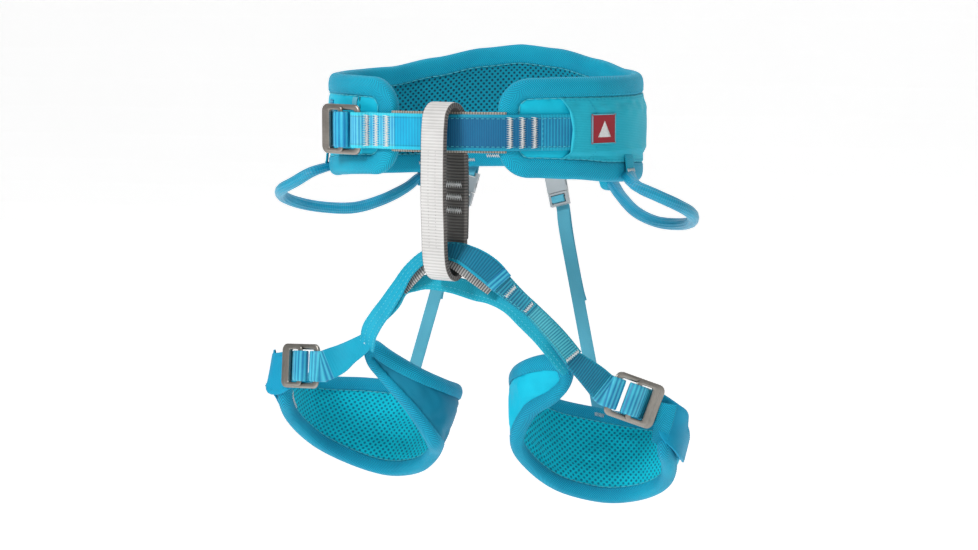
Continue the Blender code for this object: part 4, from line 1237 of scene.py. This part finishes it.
# ---- belay loop and leg bridge --------------------------------------------------------------
def build_belay_loop(looks):
    turn = math.radians(BELAY_TURN)
    side = np.array([math.cos(turn), math.sin(turn), 0])
    back = np.array([-math.sin(turn), math.cos(turn), 0])
    def rows(path):
        return [(np.array(BELAY_AT) + back * y + np.array([0, 0, z]), side) for y, z in path]
    loop = Strap(rows(BELAY_PATH), BELAY_WIDTH, BELAY_THICK, closed=True)
    outward = 1 if loop.up[0].dot(back) < 0 else -1
    # the loop's inner face, and the lap below, get a dark copy of the face tape: painted shade on the strand
    # behind
    faces = [looks["belay_face"], looks["belay_painted_shade"], looks["belay_edge"]]
    if outward < 0:
        faces = [faces[1], faces[0], faces[2]]
    tape("belay_loop_tape", loop, faces, "belay", ("belay_loop",),
         pitch=2.1, rib=0.2, layers=3, across=13)
    pale = []
    low, high = loop.near(rows([(-12.0, -10)])[0][0]), loop.near(rows([(-11.0, -78)])[0][0])
    for x in (-3.2, 3.0):
        pale += seam(loop, x, min(low, high), max(low, high), outward, 1.0, 1.4, 0.12)
    threads("belay_loop_stitches", pale, 0.16, looks["grey_seam"], "belay")
    lap = Strap(rows(BELAY_LAP), BELAY_WIDTH - 1.0, 1.5)
    tape("belay_lap_tape", lap, [looks["belay_painted_shade"]], "belay", ("belay_loop_lap",),
         pitch=2.1, rib=0.16)
    white = []
    for z in (-34, -43, -52):
        centre = loop.near(rows([(11.2, z)])[0][0])
        white += bar_tack(loop, centre, 0.72, 4.6, -outward, 0.8)
    threads("belay_loop_tacks", white, 0.24, looks["white"], "belay")


def table_rows(rows):
    """Strap rows and widths from table rows that start with a point and a direction and end with a width."""
    return [(np.array(row[0], float), np.array(row[1], float)) for row in rows], [row[-1] for row in rows]


def bridge_rows(picked, behind, slip):
    """Rows of a layer behind the bridge webbing, slipped towards its lower edge."""
    path = np.array([row[0] for row in BRIDGE], float)
    along = np.empty_like(path)
    along[1:-1] = path[2:] - path[:-2]
    along[0], along[-1] = path[1] - path[0], path[-1] - path[-2]
    along = unit(along)
    rows = []
    for i in picked:
        side = np.array(BRIDGE[i][1], float)
        side = unit(side - side.dot(along[i]) * along[i])
        face = np.cross(along[i], side)
        rows.append((path[i] - face * behind - side * slip, side))
    return rows


def build_bridge(looks):
    rows = [(p + across * row[2], across)
            for row, (p, across) in zip(BRIDGE, bridge_rows(range(len(BRIDGE)), 0.0, 0.0))]
    strap = Strap(rows, [row[3] for row in BRIDGE], 1.6)
    to_right = ("bridge", "leg_right", (-54, -75, -131), (-68, -61, -151))
    to_left = ("bridge", "leg_left", (68, -89, -127), (88, -86, -147))
    # past row 13 the ribbon gets a copy of its tape with pale rib crests: painted highlight
    hidden, cuffed, highlight_start = (strap.near(BRIDGE[i][0]) for i in (7, 11, 13))
    for part, look, body, nodes, start, end, pitch, rib in (
            ("band", "bridge_band", to_right, (), 0, hidden, 1.6, 0.06),
            ("ribbon", "bridge", "bridge", ("bridge_webbing",), hidden, cuffed, 2.0, 0.2),
            ("ribbon_end", "bridge_ribs", "bridge", (), cuffed, highlight_start, 2.2, 0.3),
            ("ribbon_painted_highlight", "bridge_painted_highlight", to_left, (), highlight_start, None, 1.9, 0.3)):
        tape("bridge_" + part, strap, [looks[look]], body, nodes, start, end, pitch, rib)
    cuff = [(p + across * (row[2] + 0.2), across) for row, (p, across) in
            zip(BRIDGE[8:12], bridge_rows(range(8, 12), -1.3, 0.0))]
    cuff = Strap(cuff, [14.5, 17.5, 18.4, 16.6], 0.9)
    hem = cuff.length * 0.8
    for part, look, start, end, pitch, rib in (("ribbon_cuff", "bridge", 0, hem, 2.0, 0.2),
                                               ("cuff_hem", "leg_hump", hem, None, 2.4, 0.3)):
        tape("bridge_" + part, cuff, [looks[look]], "bridge", (), start, end, pitch, rib)
    wear, widths = table_rows(WEAR_START)
    wear = Strap(wear + bridge_rows(range(7, 12), 2.3, 3.6), widths + [11, 13, 15, 15.5, 13], 0.9)
    tape("bridge_wear_strip", wear, [looks["stripe_grey"]], "bridge", ("bridge_wear_tape",),
         0, wear.length - 3, 1.9, 0.4)
    arch, arch_widths = table_rows(CROSS_ARCH)
    end, end_widths = table_rows(CROSS_END)
    cross = Strap(bridge_rows((2,), 2.4, 0.5) + arch + bridge_rows((12, 13, 14), 1.9, 5.6) + end,
                  [8] + arch_widths + [12.5, 12.5, 12.5] + end_widths, 1.3)
    tape("bridge_cross_tape", cross, [looks["cross"]], to_left, ("bridge_cross_strap",),
         pitch=1.5, rib=0.12)
    white = []
    for point, share, wide in (((47.0, -90.3, -108.0), 0.72, 3.4), ((59.5, -90.3, -119.0), 0.7, 2.8)):
        white += bar_tack(strap, strap.near(point), share, wide, 1, 0.8)
    threads("bridge_tacks", white, 0.28, looks["white"], "bridge")
    left_end = bar_tack(strap, strap.near((90.5, -85.5, -150.0)), 0.8, 2.6, 1, 0.8)
    threads("bridge_end_tack_left", left_end, TACK_THREAD, looks["white"], to_left)
    right_end = bar_tack(strap, 2.6, 0.4, 2.4, 1, 0.8)
    threads("bridge_end_tack_right", right_end, 0.26, looks["white"], to_right)
    chain = []
    for x in (-0.86, -0.30, 0.30, 0.86):
        chain += bridge_seam(strap, x, 1.5, hidden - 8)
    threads("bridge_band_stitches", chain, 0.28, looks["pale_seam"], to_right)
    pale = []
    for x in (-0.80, 0.80):
        pale += bridge_seam(strap, x, hidden, strap.length - 3)
    for x in (-0.80, -0.35, 0.80):
        pale += bridge_seam(cross, x, 22, cross.length - 3)
    threads("bridge_stitches", pale, 0.22, looks["pale_seam"], to_left)


def bridge_seam(strap, share, start, end):
    """Seam at a share of the half width, for tapes that change width."""
    def place(run, rise):
        return strap.at(run, strap.half_at(run) * share, strap.thick / 2 + 0.05 + rise)
    return dashes(place, start, end, 2.0, 1.3)


# ---- leg loops --------------------------------------------------------------------------------
def anchor_end(band):
    """Where the anchor strap lies on the outside of the pad's outer end."""
    rows = []
    for back, out in ((12, 8.4), (22, 7.6), (32, 7.3)):
        a = band.length - back
        rows.append((band.at(a, 0.0, out), band.at(a, 0.5) - band.at(a, -0.5)))
    return rows


def build_leg(side, word, looks):
    band = leg_band(side)
    body = "leg_" + word
    pad("leg_pad_" + word, band, [looks["leg_shell_" + word], looks["leg_lining"]], body,
        ("leg_foam_" + word, "leg_shell_" + word, "leg_lining_" + word), 19, 3.2, LEG_BIND)
    binding("leg_edge_tape_" + word, band, LEG_BIND, [looks["leg_binding"]], body,
            ("leg_binding_" + word,), 1.8)
    edge_stitches("leg_edge_stitches_" + word, band, LEG_BIND - 1.4, looks, body)
    threads("leg_edge_piping_" + word, edge_seam(band, LEG_BIND + 0.7, -PAD_OUT - 0.7, 5.2, 0.3, 0.15), 0.3,
            looks["pale_seam"], body)
    place = Frame(*LEG_BUCKLE[side])
    build_buckle(body, place, LEG_WEB / 2, 5.0, looks["leg_steel"], body)
    rows, widths = table_rows(LEG_STRAP[side])
    hump = hump_rows(place, STRAP_WRAP[::-1][1:])
    strap = Strap(rows + hump, widths + [LEG_WEB] * len(hump), WEB_THICK)
    folded = strap.near(place.at(24.5, 4.4), 0, strap.length * 0.6)
    cloth = looks["bridge_band" if side < 0 else "leg_deep"]
    tape("leg_strap_tape_" + word, strap, [cloth], body, ("leg_strap_" + word,),
         0, folded, 2.0, 0.2)
    # the strap's fold round the buckle has near-white rib crests: painted highlight on top of its low
    # roughness
    tape("leg_strap_fold_" + word, strap, [looks["leg_hump"]], body, (),
         folded, None, 2.8, 0.34)
    wrap = hump_rows(place, [(-20.0, 2.8)] + ANCHOR_WRAP[::-1] + [(-18.0, 0.4)])
    bend, widths = table_rows(ANCHOR_BEND[side])
    widths = [LEG_WEB] * len(wrap) + widths + ([20, 20, 20] if side < 0 else [26, 22, 18])
    anchor = Strap(wrap + bend + anchor_end(band), widths, WEB_THICK)
    split = anchor.near(wrap[-1][0], anchor.length * 0.3)
    tape("leg_anchor_fold_" + word, anchor, [looks["leg_hump"]], body, ("leg_anchor_" + word,),
         0, split, 2.8, 0.34)
    tape("leg_anchor_wing_" + word, anchor, [looks["wing"]], body, (),
         split, None, 1.4, 0.06, 15)
    pale = []
    for x in (-0.86, 0.86):
        pale += bridge_seam(strap, x, 3, folded)
    outward = band.at(band.length - 20, 0, 8) - band.at(band.length - 20, 0, 4)
    fold = 1 if anchor.up[-1].dot(outward) > 0 else -1
    for share in (-0.8, 0.8):
        def run_seam(run, rise, share=share):
            return anchor.at(run, anchor.half_at(run) * share, fold * (WEB_THICK / 2 + 0.05 + rise))
        pale += dashes(run_seam, split + 1, anchor.length - 1.5, 2.0, 1.3)
    threads("leg_anchor_stitches_" + word, pale, SEAM_THREAD, looks["seam"], body)
    if side > 0:
        tab = Strap(*table_rows(LEG_TAB), 1.3)
        tape("leg_side_tab_" + word, tab, [looks["leg_binding"]], body, pitch=1.4, rib=0.1)
    build_leg_marks(side, word, band, body, looks)


def build_leg_marks(side, word, band, body, looks):
    """White sewing on the binding's lining side: a slanting row, or a short woven bar."""
    a, w = band.outline(LEG_BIND - (0.8 if side < 0 else 4.0), 0.8)
    points = band.at(a, w, -BIND_OUT - 0.2)
    face = unit(band.at(a, w, -BIND_OUT - 1.2) - points)
    if side < 0:
        keep = (points[:, 2] > -208) & (points[:, 2] < -193) & (points[:, 0] < -128) & (points[:, 1] < -15)
    else:
        keep = (points[:, 1] > 30) & (np.abs(points[:, 0] - MARK_X) < 4.2) & (points[:, 2] > -222)
    points, face = points[keep], face[keep]
    run = run_of(points)
    across = unit(np.cross(face, np.gradient(points, axis=0)))
    def place(t, x, rise):
        return (pick(t, run, points) + pick(t, run, across) * np.asarray(x)[:, None]
                + pick(t, run, face) * np.asarray(rise)[:, None])
    step = 0.9 if side < 0 else 0.5
    wide = 1.1 if side < 0 else 1.3
    t = np.arange(0.3, run[-1] - 0.3, step)
    x = np.where(np.arange(len(t)) % 2 == 0, -wide, wide)
    threads("leg_white_marks_" + word, [place(t, x, np.full(len(t), 0.4))], 0.3 if side < 0 else 0.5,
            looks["white"], body)


# ---- rear elastic risers -------------------------------------------------------------------------
def build_riser(side, word, looks):
    top = np.array(RISER_TOP[side])
    low = np.array(RISER_LOW[side])
    place = Frame(top, low - top, (0, 1, 0))
    length = float(np.linalg.norm(low - top))
    stub = Strap([(place.at(p, q), place.r) for p, q in STUB_PATH], RISER_WIDTH, 1.0)
    tape("riser_stub_tape_" + word, stub, [looks["elastic"]], "riser_" + word,
         ("riser_stub_" + word,), pitch=1.2, rib=0.08)
    rows = [(place.at(p, q), place.r) for p, q in STRAP_FOLD + [(120, 0), (150, 0), (length, 0)]]
    strap = Strap(rows, RISER_WIDTH, 1.0)
    tape("riser_strap_tape_" + word, strap, [looks["elastic"]], "riser_" + word + "_clip",
         ("riser_strap_" + word,), pitch=1.2, rib=0.08)
    for part in ("riser_female_", "riser_male_"):
        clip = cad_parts[part + word]
        clip.data.materials.clear()
        clip.data.materials.append(looks["clip"])
        bevel = clip.modifiers.new("soft_edges", 'BEVEL')
        bevel.width = 0.35 * MM
        bevel.segments = 3
        bevel.limit_method = 'ANGLE'
        bevel.harden_normals = True


# ---- stage ---------------------------------------------------------------------------------------------
def lamp(name, place, aim, size, power):
    data = bpy.data.lights.new(name, 'AREA')
    data.shape = 'DISK'
    data.size = size
    data.energy = power
    made = bpy.data.objects.new(name, data)
    bpy.context.scene.collection.objects.link(made)
    made.location = place
    made.rotation_mode = 'QUATERNION'
    made.rotation_quaternion = (Vector(aim) - Vector(place)).to_track_quat('-Z', 'Y')


def build_floor():
    """Sweep of pale paper: flat under the harness and bent up behind it."""
    bend = np.radians(np.linspace(0, 90, 24))
    profile = [(-6.0, 0.0)] + [(4 + 2 * math.sin(a), 2 - 2 * math.cos(a)) for a in bend] + [(6.0, 8.0)]
    points = [(x, y, z + FLOOR_Z) for y, z in profile for x in (-9.0, 9.0)]
    faces = [(2 * k, 2 * k + 1, 2 * k + 3, 2 * k + 2) for k in range(len(profile) - 1)]
    mesh = bpy.data.meshes.new("floor")
    mesh.from_pydata(points, [], faces)
    look = Look("studio_floor", rough=0.9)
    cloud = look.noise(2.0, 2)
    look.paint(look.mix(cloud, (0.90, 0.90, 0.90), (0.94, 0.94, 0.94)))
    look.shader.inputs["Emission Color"].default_value = (1.0, 1.0, 1.0, 1.0)
    look.shader.inputs["Emission Strength"].default_value = 0.5
    mesh.materials.append(look.mat)
    floor = bpy.data.objects.new("floor", mesh)
    bpy.context.scene.collection.objects.link(floor)


def build_camera():
    turn, tilt = math.radians(CAMERA_TURN), math.radians(CAMERA_TILT)
    ahead = Vector((-math.sin(turn) * math.cos(tilt), math.cos(turn) * math.cos(tilt), -math.sin(tilt)))
    data = bpy.data.cameras.new("camera")
    data.lens = 92.0
    data.sensor_width = 36.0
    camera = bpy.data.objects.new("camera", data)
    bpy.context.scene.collection.objects.link(camera)
    camera.location = Vector(CAMERA_AIM) - ahead * CAMERA_AWAY
    camera.rotation_mode = 'QUATERNION'
    camera.rotation_quaternion = ahead.to_track_quat('-Z', 'Y')
    bpy.context.scene.camera = camera


def build_stage():
    scene = bpy.context.scene
    scene.view_settings.view_transform = 'Standard'
    world = bpy.data.worlds.new("studio")
    scene.world = world
    world.use_nodes = True
    light = world.node_tree.nodes["Background"]
    light.inputs[0].default_value = (1.0, 1.0, 1.0, 1.0)
    light.inputs[1].default_value = 0.33
    build_floor()
    lamp("key_light", (-0.9, -1.5, 1.1), (0, 0, -0.1), 0.6, 24)
    lamp("fill_light", (1.3, -1.2, 0.5), (0, 0, -0.1), 1.2, 1.5)
    lamp("top_light", (0.2, 0.5, 1.6), (0, 0, -0.1), 0.8, 8)
    build_camera()


def all_looks():
    deep, bright = (0.0, 0.16, 0.30), (0.02, 0.62, 0.88)
    return {
        "shell": fabric_look("shell_cloth", (0.0, 0.44, 0.64), (0.0, 0.72, 0.92)),
        # the right leg's shell is a darker copy of the same shell cloth: painted shade on the side turned
        # from the key light
        "leg_shell_right": fabric_look("leg_shell_right_cloth", (0.0, 0.17, 0.29), (0.0, 0.30, 0.46)),
        "leg_shell_left": fabric_look("leg_shell_left_cloth", (0.0, 0.44, 0.66), (0.0, 0.76, 0.95)),
        # the waist lining is the same mesh as the leg lining, painted much darker: painted shade inside the
        # belt
        "lining": mesh_look("lining_mesh", (0.0, 0.05, 0.09), (0.0, 0.33, 0.48)),
        "leg_lining": mesh_look("leg_lining_mesh", (0.0, 0.21, 0.34), (0.0, 0.70, 0.88)),
        "binding": herringbone_look("edge_binding", (0.0, 0.20, 0.36), (0.0, 0.60, 0.82),
                                    depth=0.24, strength=0.8),
        "leg_binding": herringbone_look("leg_edge_binding", (0.0, 0.17, 0.33), (0.0, 0.54, 0.76),
                                        depth=0.24, strength=0.8),
        # near-white crest colour: painted highlight on the fold at the buckle
        "belt_fold_painted_highlight": webbing_look("belt_fold_painted_highlight", (0.0, 0.26, 0.60), (0.25, 1.0, 1.0),
                                    2.2, (0.03, 0.7, 0.85)),
        # low roughness for real gloss, and a brighter crest colour as painted highlight
        "belt_gloss_painted_highlight": webbing_look("belt_gloss_painted_highlight", (0.0, 0.20, 0.48), (0.08, 0.85, 1.0), 3.4, None, rough=0.35),
        "belt_middle": webbing_look("belt_middle", (0.0, 0.33, 0.62), (0.0, 0.62, 0.88),
                                    2.2, (0.02, 0.6, 0.8)),
        "belt_deep": webbing_look("belt_deep", (0.0, 0.11, 0.26), (0.0, 0.20, 0.40), 1.6, (0.0, 0.36, 0.52)),
        "belt_ribs": webbing_look("belt_ribs", (0.0, 0.15, 0.34), (0.02, 0.55, 0.76), 2.2, (0.0, 0.40, 0.56)),
        "bridge": webbing_look("bridge_web", (0.0, 0.14, 0.26), (0.0, 0.33, 0.52),
                               2.0, (0.0, 0.42, 0.62), 9.5),
        "bridge_ribs": webbing_look("bridge_ribs", (0.0, 0.11, 0.22), (0.04, 0.55, 0.70),
                                    2.2, (0.0, 0.36, 0.52), 7.6),
        "bridge_band": plain_webbing_look("bridge_band", (0.0, 0.30, 0.48), (0.01, 0.55, 0.76), 0.5),
        # pale crest colour: painted highlight on the bridge ribbon's end
        "bridge_painted_highlight": webbing_look("bridge_painted_highlight", (0.0, 0.19, 0.31), (0.16, 0.80, 0.86),
                                     1.9, (0.0, 0.30, 0.42), 6.8, 0.38),
        "leg_deep": webbing_look("leg_deep", (0.0, 0.13, 0.25), (0.0, 0.40, 0.58),
                                 2.0, (0.0, 0.42, 0.60), 10.6),
        # low roughness for real gloss, and a near-white crest colour as painted highlight
        "leg_hump": webbing_look("leg_hump", (0.0, 0.17, 0.40), (0.12, 0.88, 1.0), 2.8, None, rough=0.36),
        "wing": plain_webbing_look("wing_web", (0.0, 0.25, 0.46), (0.0, 0.46, 0.70)),
        "cross": herringbone_look("cross_web", (0.0, 0.33, 0.48), (0.04, 0.62, 0.80), 3.4, 1.5, 0.14),
        "sleeve": fabric_look("sleeve_cloth", (0.0, 0.36, 0.50), (0.03, 0.55, 0.70),
                              0.8, 0.06, 0.7, 0.1, 1.15),
        "elastic": plain_webbing_look("elastic_web", (0.08, 0.40, 0.54), (0.17, 0.58, 0.72), 0.6),
        "stripe_stone": webbing_look("wear_stone", (0.20, 0.16, 0.12), (0.86, 0.80, 0.72), 1.9),
        "stripe_grey": webbing_look("wear_grey", (0.03, 0.03, 0.03), (0.95, 0.93, 0.90), 1.9),
        "belay_face": webbing_look("belay_face", (0.52, 0.51, 0.50), (0.90, 0.89, 0.88), 2.1),
        # dark copy of the belay face tape: painted shade
        "belay_painted_shade": webbing_look("belay_painted_shade", (0.05, 0.048, 0.045), (0.22, 0.21, 0.20), 2.1),
        "belay_edge": webbing_look("belay_edge", (0.05, 0.045, 0.042), (0.35, 0.32, 0.30), 2.1),
        "label": fabric_look("label_weave", (0.26, 0.012, 0.02), (0.46, 0.035, 0.055),
                             0.7, 0.06, 0.6, 0.2, 0.6),
        "gear": braid_look("gear_cover", (0.0, 0.22, 0.40), (0.0, 0.50, 0.72)),
        "core": braid_look("gear_rope", (0.05, 0.06, 0.07), (0.16, 0.17, 0.18)),
        "steel": steel_look("waist_steel", (0.22, 0.20, 0.18), (0.50, 0.46, 0.42), (1, 1, 12)),
        "leg_steel": steel_look("leg_steel", (0.20, 0.19, 0.17), (0.46, 0.43, 0.39), (12, 1, 1)),
        "clip": plastic_look("clip_grey", (0.36, 0.38, 0.39), (0.50, 0.52, 0.53)),
        "white": thread_look("white_thread", (0.92, 0.94, 0.94)),
        "seam": thread_look("aqua_thread", (0.0, 0.42, 0.62)),
        "pale_seam": thread_look("pale_thread", (0.10, 0.68, 0.82)),
        "dark": thread_look("slit_shadow", (0.0, 0.07, 0.11)),
        "grey_seam": thread_look("grey_thread", (0.42, 0.41, 0.40)),
    }


def build_all():
    looks = all_looks()
    build_waist_pad(looks)
    build_waist_webbing(looks)
    build_waist_marks(looks)
    build_keeper(looks)
    build_sleeve(looks)
    build_belay_loop(looks)
    build_bridge(looks)
    for side, word in SIDES:
        build_gear_loop(side, word, looks)
        build_gear_tab(side, word, looks)
        build_leg(side, word, looks)
        build_riser(side, word, looks)
    build_stage()


build_all()
